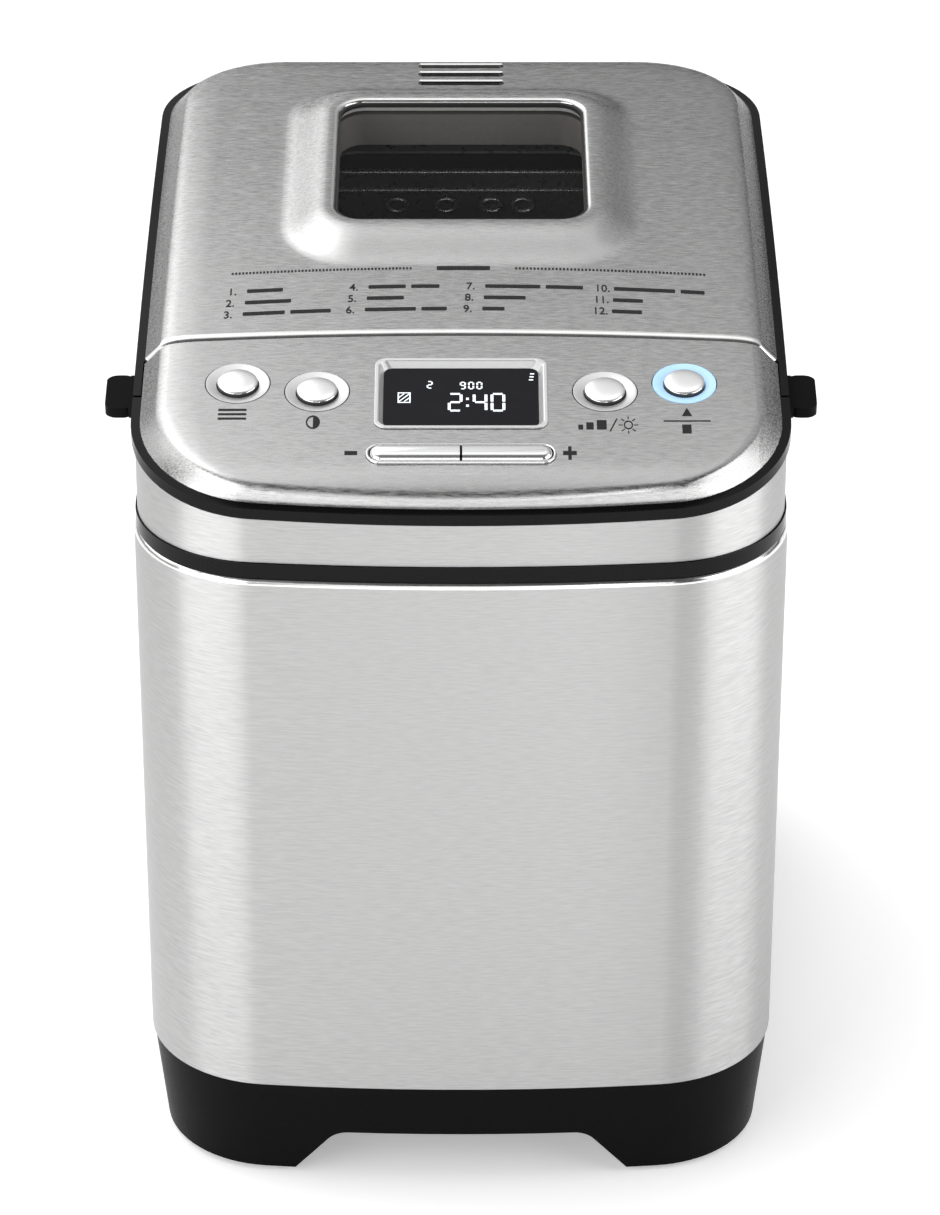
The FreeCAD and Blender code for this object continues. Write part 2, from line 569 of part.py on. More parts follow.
arch_tool = eased("arch_tool", arch_block, "Fillet", ["arch_round"], lambda edge: (
    edge.BoundBox.YLength > number("body_depth/2") and edge.BoundBox.ZMin > number("arch_top/2")))
base_posts = [cylinder(f"foot_post_{place}", "post_radius", "floor_low - base_gap + overrun", x, y,
                       "base_gap") for place, (x, y) in enumerate(feet)]
base_columns = [cylinder(f"column_{place}", "column_radius", f"chassis_z - {floor_top} + overrun", x, y,
                         f"{floor_top} - overrun") for place, (x, y) in enumerate(columns)]
recesses = [cylinder(f"foot_recess_{place}", "pad_radius + seat_clearance", "pad_recess + overrun", x, y,
                     "base_gap - overrun") for place, (x, y) in enumerate(feet)]
screw_bores = [cylinder(f"screw_bore_{place}", "screw_radius + seat_clearance", "chassis_z", x, y,
                        "floor_low - overrun") for place, (x, y) in enumerate(columns)]
base_slots = [prism(f"base_slot_{place}", obround(
    "vent_length", "vent_width", "0", f"motor_y + vent_pitch*({place} - (base_vents - 1)/2)"),
    "floor_low - overrun", f"{floor_top} + overrun") for place in range(SIZES["base_vents"])]
gland_hole = cylinder("gland_hole", "gland_radius + seat_clearance", "gland_length + 2*tool_margin",
                      "gland_x", "body_depth/2 - gland_length - tool_margin", "gland_z", "Y")
gland_seat = cylinder("gland_seat", "gland_flange_radius + seat_clearance", "gland_flange + tool_margin",
                      "gland_x", "body_depth/2 - gland_flange", "gland_z", "Y")
piece("base_tray", cut("base_tray", fuse("base_solid", base_shell, *base_posts, *base_columns), arch_tool,
                       gland_hole, gland_seat, *recesses, *screw_bores, *base_slots))

# Rubber feet pressed into the posts, and the screws that hold the chassis from below.
pads = [turned(f"pad_{place}", ("0", "0"), ("pad_radius - pad_chamfer", "0"), ("pad_radius", "pad_chamfer"),
               ("pad_radius", "base_gap + pad_recess"), ("0", "base_gap + pad_recess"))
        for place in range(len(feet))]
for pad, (x, y) in zip(pads, feet):
    move(pad, x, y)
piece("foot_pads", group("foot_pads", *pads))
screws = [turned(f"base_screw_{place}", ("0", "floor_low - screw_head"),
                 ("screw_head_radius", "floor_low - screw_head"), ("screw_head_radius", "floor_low"),
                 ("screw_radius", "floor_low"), ("screw_radius", f"{chassis_top} + screw_tail"),
                 ("0", f"{chassis_top} + screw_tail")) for place in range(len(columns))]
for screw, (x, y) in zip(screws, columns):
    move(screw, x, y)
piece("base_screws", group("base_screws", *screws))

# Stainless body wrap: one sheet bent round the machine, its top edge rolled in to a narrow lip.
wrap_block = prism("wrap_block", outline("0"), "base_height", "wrap_top")
wrap_rolled = eased("wrap_rolled", wrap_block, "Fillet", ["wrap_round"],
                    lambda edge: edge.BoundBox.ZMin > number("wrap_top - overrun"))
rear_slots = [prism(f"rear_slot_{side}_{place}", obround(
    "rear_vent_length", "vent_width", f"{sign}rear_vent_x", f"rear_vent_low + {place}*vent_pitch"),
    "-body_depth/2 - tool_margin", "-body_depth/2 + tool_margin", "XZ_Plane")
    for side, sign in sides for place in range(SIZES["rear_vents"])]
piece("body_wrap", cut(
    "body_wrap", wrap_rolled,
    prism("wrap_inside", outline("wrap_sheet"), "base_height - overrun", "wrap_top - wrap_sheet"),
    prism("wrap_mouth", outline("wrap_lip"), "base_height", "wrap_top + overrun"), *rear_slots))

# Black upper frame: band over the wrap, wall behind the rim band, front trim, panel ledge, bulkhead and
# the deck round the chamber mouth, with lugs for the lid hinge.
rim_low = "(wrap_top + band_height)"
trim_bottom = "(plate_drop + trim_height)"
deck_drop = "(plate_drop + trim_height + lid_gap)"
panel_edge = "(split_y - split_gap/2)"
lid_edge = "(split_y + split_gap/2)"
far = "(body_depth/2 + tool_margin)"
wide = "(body_width/2 + tool_margin)"
tall = "(body_height + tool_margin)"


def mouth(margin):
    return rectangle(f"chamber_half_x + {margin}", f"chamber_half_y + {margin}", f"chamber_round + {margin}",
                     "0", "chamber_y")


def in_front(name, y):
    return box(name, (f"-{wide}", f"-{far}", "0"), (wide, y, tall))


def behind(name, y):
    return box(name, (f"-{wide}", y, "0"), (wide, far, tall))


def hinge_relief(name):
    return box(name, ("-relief_half_x", "relief_y", "hinge_z - relief_depth"), ("relief_half_x", far, tall))


frame_band = ring("frame_band", "band_inset", "frame_ring", "wrap_top", rim_low)
frame_tongue = ring("frame_tongue", "wrap_lip + wrap_clearance", "frame_ring", "wrap_top - frame_depth",
                    "wrap_top")
frame_wall = common("frame_wall", ring("frame_wall_ring", "frame_inset", "frame_inset + frame_wall", rim_low,
                                       tall), slab("frame_wall_top", deck_drop))
front_trim = common("front_trim", ring("trim_ring", "0", "frame_ring", rim_low, tall),
                    slab("trim_slab", "plate_drop", deck_drop),
                    in_front("trim_front", "seam_y - split_gap/2"))
panel_ledge = common("panel_ledge", ring("ledge_ring", "plate_inset", "frame_ring", rim_low, tall),
                     slab("ledge_slab", "plate_drop", f"{deck_drop} + overrun"),
                     in_front("ledge_front", panel_edge))
bulkhead_rear = "(split_y - bulkhead_setback)"
bulkhead = common("bulkhead", prism("bulkhead_plan", outline("wrap_lip + wrap_clearance"),
                                    "wrap_top - frame_depth", tall), slab("bulkhead_top", "plate_drop"),
                  box("bulkhead_box", (f"-{wide}", f"{bulkhead_rear} - frame_wall", "0"),
                      (wide, bulkhead_rear, tall)))
deck = common("deck", prism("deck_plan", outline("frame_inset + overrun"), rim_low, tall),
              slab("deck_slab", deck_drop, f"{deck_drop} + deck_thickness"),
              behind("deck_rear", f"{bulkhead_rear} - overrun"))
collar = common("mouth_collar", prism("collar_plan", mouth("collar_wall"), "chamber_rim", tall),
                slab("collar_top", f"{deck_drop} + overrun"))
wall_y = "(body_depth/2 - frame_inset - frame_wall)"
lugs = []
for side, sign in sides:
    for place, start in (("inner", "hinge_x - knuckle_length/2 - lug_gap - lug_length"),
                         ("outer", "hinge_x + knuckle_length/2 + lug_gap")):
        low_x = start if sign == "" else f"-({start}) - lug_length"
        eye = cylinder(f"lug_eye_{side}_{place}", "hinge_radius", "lug_length", low_x, "hinge_y", "hinge_z",
                       "X")
        web = box(f"lug_web_{side}_{place}", (low_x, wall_y, "hinge_z - relief_depth - lug_root"),
                  (f"{low_x} + lug_length", f"{wall_y} + frame_wall", "hinge_z"))
        lugs.append(fuse(f"hinge_lug_{side}_{place}", eye, web))
hinge_length = "(knuckle_length + 2*lug_length + 2*lug_gap)"


def hinge_bar(name, radius, sign, margin):
    """Bar along the hinge axis at one knuckle, longer than the hinge by margin at each end."""
    return cylinder(name, radius, f"{hinge_length} + 2*{margin}",
                    f"{sign}hinge_x - {hinge_length}/2 - {margin}", "hinge_y", "hinge_z", "X")


frame_cast = cut("frame_cast", fuse("frame_form", frame_band, frame_tongue, frame_wall, front_trim,
                                    panel_ledge, bulkhead, deck, collar),
                 prism("frame_mouth", mouth("0"), "chamber_rim - overrun", tall),
                 hinge_relief("frame_relief"))
piece("upper_frame", cut("upper_frame", fuse("frame_lugged", frame_cast, *lugs), *[
    hinge_bar(f"lug_bore_{side}", "pin_radius + pin_fit", sign, "overrun") for side, sign in sides]))
piece("hinge_pins", group("hinge_pins", *[
    hinge_bar(f"hinge_pin_{side}", "pin_radius", sign, "0") for side, sign in sides]))

# Stainless rim band in front of the frame's wall, with the hinge gap cut out of its top.
rim_form = common("rim_form", ring("rim_ring", "rim_inset", "rim_inset + wrap_sheet", rim_low, tall),
                  slab("rim_top", f"{deck_drop} + rim_gap"))
piece("rim_band", cut("rim_band", rim_form, hinge_relief("rim_relief")))


def upper_rim(edge, inset):
    """True on an edge of the crowned face along the plan form, not along the split."""
    middle = edge.valueAt((edge.FirstParameter + edge.LastParameter) / 2)
    on_split = abs(middle.y - number("split_y")) < number("split_gap/2 + plate_sheet") + NEAR
    return abs(middle.z - number(crown(middle.y, inset))) < NEAR and not on_split


def top_plate(name, keep, side_edge):
    """Pressed top plate on one side of the split: crowned, with a sloping shoulder and a turned-down edge."""
    skins = []
    for layer, inset in (("outer", "0"), ("inner", "plate_sheet")):
        form = common(f"{name}_{layer}_form", prism(f"{name}_{layer}_plan", outline(f"plate_inset + {inset}"),
                                                    rim_low, tall),
                      slab(f"{name}_{layer}_slab", inset, f"plate_drop + {inset}*2"),
                      keep(f"{name}_{layer}_side", f"{side_edge} {inset}"))
        skins.append(eased(f"{name}_{layer}", form, "Chamfer", ["shoulder_drop", "shoulder_width"],
                           lambda edge: upper_rim(edge, inset)))
    return cut(f"{name}_shell", *skins)


# Control panel: pressed plate in front of the split with holes for the display, buttons and pill.
round_buttons = (("program", "-outer_button_x", "outer_button_y"),
                 ("crust", "-inner_button_x", "inner_button_y"),
                 ("loaf", "inner_button_x", "inner_button_y"),
                 ("start", "outer_button_x", "outer_button_y"))
pill_middle = "(pill_half_x + pill_gap/2)/2"
pill_buttons = (("minus", f"-{pill_middle}"), ("plus", pill_middle))
through = ("-tool_margin", "tool_margin")


def panel_prism(name, draw, low, high, x, y):
    return seat_on_crown(prism(name, draw, low, high), x, y, "panel_y")


def display_outline(margin, radius):
    return rectangle(f"display_half_x + {margin}", f"display_half_y + {margin}", radius)


def pill_outline(margin):
    return rectangle(f"pill_half_x + {margin}", f"pill_half_y + {margin}", f"pill_round + {margin}")


def panel_holes(owner):
    holes = [panel_prism(f"{owner}_hole_{name}", disc("ring_radius + fit_clearance"), *through, x, y)
             for name, x, y in round_buttons]
    holes.append(panel_prism(f"{owner}_hole_display", display_outline(
        "bezel_throat + fit_clearance", "display_round"), *through, "0", "display_y"))
    holes.append(panel_prism(f"{owner}_hole_pill", pill_outline("pill_rim + fit_clearance"), *through, "0",
                             "pill_y"))
    return holes


panel_shell = top_plate("panel", in_front, f"{panel_edge} -")
piece("control_panel", cut("control_panel", panel_shell, *panel_holes("panel")))

# Panel carrier: black tray under the plate that holds the rings, with posts down to the control board.
carrier_plate = common("carrier_plate", prism("carrier_plan", outline("carrier_inset"), rim_low, tall),
                       slab("carrier_slab", "plate_sheet", "plate_sheet + carrier_thickness"),
                       in_front("carrier_front", f"{bulkhead_rear} - frame_wall - carrier_gap"))
board_posts = [panel_prism(f"board_post_{side}_{row}", disc("post_small", f"{sign}{x}", y), "-board_drop",
                           "-plate_sheet - overrun", "0", "panel_y") for side, sign in sides
               for row, x, y in (("front", "post_x", "post_y"), ("rear", "post_inner_x", "post_inner_y"))]
piece("panel_carrier", cut("panel_carrier", fuse("carrier_form", carrier_plate, *board_posts),
                           *panel_holes("carrier")))

# Dished rings pushed up through the carrier, each with a flange under it; the start ring is a light guide.
flange_top = "(-plate_sheet - carrier_thickness - ring_seat)"
ring_low = "(-plate_sheet - carrier_thickness - ring_flange)"
rings = {}
for name, x, y in round_buttons:
    rings[name] = seat_on_crown(turned(
        f"{name}_ring", ("ring_bore", ring_low), ("ring_flange_radius", ring_low),
        ("ring_flange_radius", flange_top), ("ring_radius", flange_top), ("ring_radius", "ring_proud"),
        ("ring_radius - ring_lip", "ring_proud"), ("ring_bore", "-dish_depth")), x, y, "panel_y")
piece("start_light_ring", rings.pop("start"))
piece("button_rings", group("button_rings", *rings.values()))

# Round push caps: shallow dome, flange that catches under the ring, stem over its switch.
cap_top = f"({ring_low} - press_clearance)"
cap_low = f"({cap_top} - cap_flange)"
for name, x, y in round_buttons:
    piece(f"{name}_button", seat_on_crown(turned(
        f"{name}_cap", ("0", "-stem_end"), ("stem_radius", "-stem_end"), ("stem_radius", cap_low),
        ("cap_flange_radius", cap_low), ("cap_flange_radius", cap_top), ("cap_radius", cap_top),
        ("cap_radius", "cap_proud - cap_dome"), ("cap_radius - cap_edge", "cap_proud - cap_crown"),
        ("0", "cap_proud")), x, y, "panel_y"))

# Display: frame with a flared mouth and a tongue through the plate, a dark lens sunk in it and the LCD
# under the lens.
lens_top = "(bezel_proud - lens_recess)"
bezel_form = fuse("bezel_form", prism("bezel_outer", display_outline("bezel_width", "bezel_round"),
                                      "bezel_seat", "bezel_proud"),
                  prism("bezel_tongue", display_outline("bezel_throat", "display_round"), "-bezel_tongue",
                        "bezel_proud/2"))
bezel_hole = prism("bezel_hole", display_outline("fit_clearance", "display_round"), *through)
bezel_mouth = loft("bezel_mouth", (display_outline("fit_clearance", "display_round"), lens_top),
                   (display_outline("bezel_flare", "display_round"), "bezel_proud"))
piece("display_bezel", seat_on_crown(cut("display_bezel", bezel_form, bezel_hole, bezel_mouth), "0",
                                     "display_y", "panel_y"))
piece("display_lens", panel_prism("display_lens", display_outline("0", "display_round"),
                                  f"{lens_top} - lens_thickness", lens_top, "0", "display_y"))
piece("lcd_module", panel_prism("lcd_module", display_outline("(-lcd_margin)", "lcd_round"),
                                "-board_drop + lcd_gap", f"{lens_top} - lens_thickness - fit_clearance",
                                "0", "display_y"))

# Pill: bright rim round two caps that press in side by side, square where they meet.
pill_form = cut("pill_form", prism("pill_outer", pill_outline("pill_rim"), "-pill_depth", "pill_proud"),
                prism("pill_hole", pill_outline("press_clearance"), *through))
piece("pill_bezel", seat_on_crown(pill_form, "0", "pill_y", "panel_y"))
pill_foot_top = "(-pill_depth - press_clearance)"
pill_half = "(pill_half_x - pill_gap/2)/2"
for name, x in pill_buttons:
    cap = common(f"{name}_top", prism(f"{name}_oval", pill_outline("0"), pill_foot_top, "cap_proud"),
                 box(f"{name}_end", (f"{x} - {pill_half}", "-pill_half_y - overrun",
                                     f"{pill_foot_top} - overrun"),
                     (f"{x} + {pill_half}", "pill_half_y + overrun", "cap_proud + overrun")))
    foot = prism(f"{name}_foot", rectangle(f"{pill_half} - pill_foot_inset", "pill_half_y + pill_rim",
                                           "pill_round", x), f"{pill_foot_top} - pill_foot", pill_foot_top)
    stem = cylinder(f"{name}_stem", "stem_radius", f"stem_end + {pill_foot_top}", x, "0", "-stem_end")
    piece(f"{name}_button", seat_on_crown(fuse(f"{name}_button", cap, foot, stem), "0", "pill_y", "panel_y"))

# Control board on the carrier's posts, with a tact switch under each button.
board_form = prism("board_form", rectangle("board_half_x", "(board_rear - board_front)/2", "board_round", "0",
                                           "(board_rear + board_front)/2"), "-board_drop - board_thickness",
                   "-board_drop")
switches = []
for name, x, y in round_buttons + tuple((name, x, "pill_y") for name, x in pill_buttons):
    across = f"({y} - panel_y)/cos({slope('panel_y')})"
    switches.append(prism(f"{name}_switch", rectangle("switch_size/2", "switch_size/2", "switch_round", x,
                                                      across), "-board_drop", "-board_drop + switch_height"))
piece("control_board", seat_on_crown(fuse("control_board", board_form, *switches), "0", "panel_y", "panel_y"))

# Lid cover: pressed plate behind the split with a raised boss round the window and steam slots.
lid_shell = top_plate("lid", behind, f"{lid_edge} +")
slot_rows = "(slot_pitch*(slots - 1)/2)"
insert_y = f"(slot_rear - {slot_rows})"
window_tool = ("-4*tool_margin", "2*tool_margin")


def boss(name, shrink, low):
    foot = rectangle(f"boss_half_x - ({shrink})", f"boss_half_y - ({shrink})", "boss_round")
    head = rectangle(f"boss_top_half - ({shrink})", f"boss_top_half - ({shrink})", "boss_top_round")
    return seat_on_crown(loft(name, (foot, low), (head, f"boss_rise - ({shrink})")), "0", "boss_y", "boss_y")


def window_prism(name, half, radius, low, high):
    return seat_on_crown(prism(name, rectangle(half, half, radius), low, high), "0", "boss_y", "boss_y")


def slot_tools(owner, margin):
    return [prism(f"{owner}_slot_{place}", obround(
        f"slot_length + 2*({margin})", f"slot_width + 2*({margin})", "0",
        f"slot_rear - {place}*slot_pitch"), rim_low, tall) for place in range(SIZES["slots"])]


def insert_outline(margin):
    return rectangle(f"slot_length/2 + insert_margin - {margin}",
                     f"{slot_rows} + slot_width/2 + insert_margin - {margin}", "insert_round", "0", insert_y)


boss_low = "-boss_sink - boss_clear"
boss_skin = cut("boss_skin", boss("boss_outer", "0", "-boss_sink"),
                boss("boss_inner", "plate_sheet", boss_low))
lid_pressed = cut("lid_pressed", fuse("lid_bossed", lid_shell, boss_skin),
                  boss("boss_space", "plate_sheet", boss_low))
piece("lid_cover", cut("lid_cover", lid_pressed, window_prism(
    "window_hole", "window_half", "window_round", *window_tool), *slot_tools("cover", "0")))

# Window: glass under the boss, soft gasket on top of it and a black frame below.
glass_low = "(glass_top - glass_thickness)"
piece("window_glass", window_prism("window_glass", "glass_half", "glass_round", glass_low, "glass_top"))
gasket_form = window_prism("gasket_form", "window_half + gasket_half", "window_round", "glass_top",
                           "boss_rise - plate_sheet - fit_clearance")
piece("window_gasket", cut("window_gasket", gasket_form, window_prism(
    "gasket_hole", "window_half - gasket_half", "window_round", *window_tool)))
tunnel_form = window_prism("tunnel_form", "glass_half + glass_rim", "glass_round", "-tunnel_depth",
                           f"{glass_low} - fit_clearance")
piece("window_frame", cut("window_frame", tunnel_form, window_prism(
    "tunnel_hole", "window_half", "window_round", *window_tool)))

# Lid frame: black moulding under the cover with arms beside the panel, hinge knuckles and steam opening.
lid_opening = prism("lid_opening", rectangle("opening_half_x", "(opening_rear - opening_front)/2",
                                             "opening_round", "0", "(opening_rear + opening_front)/2"),
                    rim_low, tall)
lid_plate = common("lid_plate", prism("lid_plan", outline("0"), rim_low, tall),
                   slab("lid_slab", "plate_drop", trim_bottom), behind("lid_rear", lid_edge))
lid_arms = common("lid_arms", ring("arm_ring", "0", "arm_width", rim_low, tall),
                  slab("arm_slab", "plate_drop", trim_bottom), behind("arm_rear", "seam_y + split_gap/2"))
knuckles = []
for side, sign in sides:
    start = f"{sign}hinge_x - knuckle_length/2"
    knuckles.append(cylinder(f"knuckle_{side}", "hinge_radius", "knuckle_length", start, "hinge_y", "hinge_z",
                             "X"))
    knuckles.append(box(f"knuckle_web_{side}", (start, "hinge_y - hinge_radius", "hinge_z"),
                        (f"{start} + knuckle_length", "hinge_y + hinge_radius",
                         crown("hinge_y", f"{trim_bottom} - overrun"))))
screw_rows = [(x, y) for x in ("-lid_screw_x", "lid_screw_x")
              for y in ("lid_screw_front", "chamber_y", "lid_screw_rear")]


def lid_screw_bores(owner):
    """Bores for the lid's screws, from below the liner to the screws' ends in the frame."""
    return [cylinder(f"{owner}_screw_{place}", "lid_screw_radius + fit_clearance",
                     "2*tool_margin + lid_screw_depth", x, y, crown(y, f"{trim_bottom} + 2*tool_margin"))
            for place, (x, y) in enumerate(screw_rows)]


steam_hole = prism("steam_hole", insert_outline("0"), rim_low, tall)
knuckle_bores = [hinge_bar(f"knuckle_bore_{side}", "pin_radius + pin_fit", sign, "0") for side, sign in sides]
lid_form = fuse("lid_form", cut("lid_ring", lid_plate, lid_opening, steam_hole), lid_arms, *knuckles)
piece("lid_frame", cut("lid_frame", lid_form, *lid_screw_bores("frame"), *knuckle_bores))

# Vent insert: black louvre plate behind the steam slots.
insert_plate = common("insert_plate", prism("insert_plan", insert_outline("wrap_clearance"), rim_low, tall),
                      slab("insert_slab", "plate_sheet + fit_clearance", "insert_depth"))
piece("vent_insert", cut("vent_insert", insert_plate, *slot_tools("insert", "-insert_step")))

# Lifting tabs: one at each front end of the lid frame, a plate on the frame's side with a finger lip.
tabs = []
tab_low = "(-tab_drop - tab_thickness)"
for side, sign in sides:
    near, outer = ("0", "tab_plate") if sign == "" else ("-tab_plate", "0")
    plate = box(f"tab_plate_{side}", (near, "-tab_length/2", tab_low),
                (outer, "tab_length/2", f"{tab_low} + tab_plate_height"))
    lip = prism(f"tab_lip_{side}", rectangle("tab_proud/2", "tab_length/2", "tab_round",
                                             f"{sign}tab_proud/2"), tab_low, "-tab_drop")
    tabs.append(seat_on_crown(fuse(f"tab_{side}", plate, lip), f"{sign}body_width/2", "tab_y", "tab_y"))
piece("lid_tabs", group("lid_tabs", *tabs))

# Lid liner: dished inner panel under the lid, held by screws into the lid frame.
liner_drop = f"({trim_bottom} + fit_clearance)"


def lid_block(name, margin, top, bottom):
    return common(name, prism(name + "_plan", rectangle(
        f"chamber_half_x - ({margin})", f"chamber_half_y - ({margin})", f"chamber_round - ({margin})", "0",
        "chamber_y"), rim_low, tall), slab(name + "_slab", top, bottom))


dish_form = fuse("dish_form",
                 lid_block("dish_flange", "liner_margin", liner_drop, f"{liner_drop} + liner_sheet"),
                 lid_block("dish_outer", "dish_margin", liner_drop,
                           f"{liner_drop} + liner_dish + liner_sheet"))
dish_space = lid_block("dish_space", "dish_margin + liner_sheet", f"{liner_drop} - overrun",
                       f"{liner_drop} + liner_dish")
piece("lid_liner", cut("lid_liner", dish_form, dish_space, window_prism(
    "liner_window", "glass_half + glass_rim + lid_gap", "glass_round", *window_tool),
    *lid_screw_bores("liner")))
lid_screws = []
head_low = "-lid_screw_seat - lid_screw_head"
for place, (x, y) in enumerate(screw_rows):
    lid_screws.append(move(turned(
        f"lid_screw_{place}", ("0", head_low), ("lid_screw_head_radius", head_low),
        ("lid_screw_head_radius", "-lid_screw_seat"), ("lid_screw_radius", "-lid_screw_seat"),
        ("lid_screw_radius", "lid_screw_depth"), ("0", "lid_screw_depth")),
        x, y, crown(y, f"{liner_drop} + liner_sheet")))
piece("lid_screws", group("lid_screws", *lid_screws))


def upright(name, radius, low, high, y="chamber_y"):
    """Round bar standing on the middle line from low to high."""
    return cylinder(name, radius, f"({high}) - ({low})", "0", y, low)


# Chassis plate on the base columns, and the spacers that carry the chamber on it.
chassis_tool = ("chassis_z - tool_margin", "chassis_z + tool_margin")
chassis_screw_holes = [cylinder(f"chassis_screw_{place}", "screw_radius + fit_clearance",
                                "2*tool_margin", x, y, "chassis_z - tool_margin")
                       for place, (x, y) in enumerate(columns)]
piece("chassis_plate", cut(
    "chassis_plate", prism("chassis_form", outline("chassis_inset"), "chassis_z", chassis_top),
    upright("chassis_bearing_hole", "bearing_radius + seat_clearance", *chassis_tool),
    upright("chassis_motor_hole", "motor_boss + seat_clearance", *chassis_tool, "motor_y"),
    *chassis_screw_holes))
liner_bottom = "(chamber_floor - liner_sheet)"
piece("liner_spacers", group("liner_spacers", *[
    cylinder(f"spacer_{side}_{row}", "spacer_radius", f"{liner_bottom} - {chassis_top}", f"{sign}spacer_x", y,
             chassis_top) for side, sign in sides for row, y in (("front", "spacer_front"),
                                                                 ("rear", "spacer_rear"))]))

# Chamber liner: deep-drawn box with an outward flange under the frame's collar.
liner_box = eased("liner_box", prism("liner_block", mouth("liner_sheet"), liner_bottom, "chamber_rim"),
                  "Fillet", ["floor_round + liner_sheet"],
                  lambda edge: edge.BoundBox.ZMax < number(liner_bottom) + NEAR)
liner_hollow = prism("liner_hollow", mouth("0"), "chamber_floor", "chamber_rim + overrun")
liner_space = eased("liner_space", liner_hollow, "Fillet", ["floor_round"],
                    lambda edge: edge.BoundBox.ZMax < number("chamber_floor") + NEAR)
liner_rim = prism("liner_rim", mouth("liner_flange"), "chamber_rim - liner_sheet", "chamber_rim")


def front_bore(name, radius, x, z):
    return cylinder(name, radius, "2*tool_margin", x, "chamber_front - tool_margin", z, "Y")


piece("chamber_liner", cut(
    "chamber_liner", fuse("liner_flanged", liner_box, liner_rim), liner_space,
    upright("liner_bearing_hole", "bearing_radius + bearing_gap", f"{liner_bottom} - overrun",
            "chamber_floor + overrun"),
    *[front_bore(f"element_hole_{side}", "element_radius + fit_clearance", f"{sign}element_leg_x",
                 "element_z") for side, sign in sides],
    front_bore("sensor_hole", "sensor_radius + fit_clearance", "sensor_x", "sensor_z")))

# Heating element: one bent tube round the foot of the pan, its ends out through the liner's front wall.
loop_low, loop_high = "(chamber_y - element_half_y)", "(chamber_y + element_half_y)"
tail_y = "chamber_front - element_tail"
piece("heating_element", tube("heating_element", [
    ("-element_leg_x", tail_y, "element_z"), ("-element_leg_x", loop_low, "element_z"),
    ("-element_half_x", loop_low, "element_z"), ("-element_half_x", loop_high, "element_z"),
    ("element_half_x", loop_high, "element_z"), ("element_half_x", loop_low, "element_z"),
    ("element_leg_x", loop_low, "element_z"), ("element_leg_x", tail_y, "element_z")], "element_radius",
    ["element_leg_bend", "element_bend", "element_bend", "element_bend", "element_bend", "element_leg_bend"]))
clips = []
for name, x, y, half_x, half_y, along in (
        ("left", "-element_half_x", "chamber_y", "clip_width/2", "clip_thickness/2", "Y"),
        ("right", "element_half_x", "chamber_y", "clip_width/2", "clip_thickness/2", "Y"),
        ("rear", "0", loop_high, "clip_thickness/2", "clip_width/2", "X")):
    block = box(f"clip_block_{name}", (f"{x} - {half_x}", f"{y} - {half_y}", "chamber_floor"),
                (f"{x} + {half_x}", f"{y} + {half_y}", "element_z + clip_width/2"))
    back_x, back_y = ("0", "tool_margin") if along == "Y" else ("tool_margin", "0")
    clips.append(cut(f"clip_{name}", block, cylinder(
        f"clip_hole_{name}", "element_radius + fit_clearance", "2*tool_margin", f"{x} - {back_x}",
        f"{y} - {back_y}", "element_z", along)))
piece("element_clips", group("element_clips", *clips))
piece("temperature_sensor", cylinder("temperature_sensor", "sensor_radius", "sensor_length", "sensor_x",
                                     "chamber_front - sensor_tail", "sensor_z", "Y"))

# Pan socket on the chamber floor: a ring with inward hooks that hold the pan's lugs down.
socket_top = "(chamber_floor + socket_height)"
hook_low = f"({socket_top} - hook_height)"


def sector(name, inner, outer, low, height, turn):
    """Part of a ring about the pan axis, one hook wide and centred on turn."""
    blocks = []
    for layer, radius, extra in (("outer", outer, "0"), ("inner", inner, "overrun")):
        block = doc.addObject("Part::Cylinder", f"{name}_{layer}")
        block.Placement = Placement(Vector(), Rotation(Vector(0, 0, 1), number(turn)))
        bind(block, Radius=radius, Height=f"{height} + 2*{extra}", Angle=f"hook_angle + 2*{extra}",
             Placement__Rotation__Angle=f"{turn} - hook_angle/2 - {extra}")
        blocks.append(move(block, "0", "chamber_y", f"{low} - {extra}"))
    return cut(name, *blocks)


hook_turns = [f"{place}*360/hooks + hook_turn" for place in range(SIZES["hooks"])]
socket_form = cut("socket_form",
                  upright("socket_outer", "socket_inner + socket_wall", "chamber_floor", socket_top),
                  upright("socket_space", "socket_inner", "chamber_floor + socket_flange",
                          f"{socket_top} + overrun"),
                  upright("socket_opening", "socket_hole", "chamber_floor - overrun", socket_top))
hook_parts = [sector(f"hook_{place}", "pan_collar_radius + hook_gap", "socket_inner + overrun", hook_low,
                     "hook_height", turn) for place, turn in enumerate(hook_turns)]
piece("pan_socket", fuse("pan_socket", socket_form, *hook_parts))


# Bread pan: drawn tub with a rim, a collar with bayonet lugs and the bush for the paddle shaft.
def pan_section(half_x, half_y, shrink):
    return rectangle(f"{half_x} - ({shrink})", f"{half_y} - ({shrink})", f"pan_round - ({shrink})", "0",
                     "chamber_y")


def pan_loft(name, shrink, low, high):
    """Tub form drawn in by shrink, its foot edge bevelled."""
    return loft(name, (pan_section("pan_low_x", "pan_low_y", f"{shrink} + pan_bevel"), low),
                (pan_section("pan_low_x", "pan_low_y", shrink), f"{low} + pan_bevel"),
                (pan_section("pan_top_x", "pan_top_y", shrink), high))


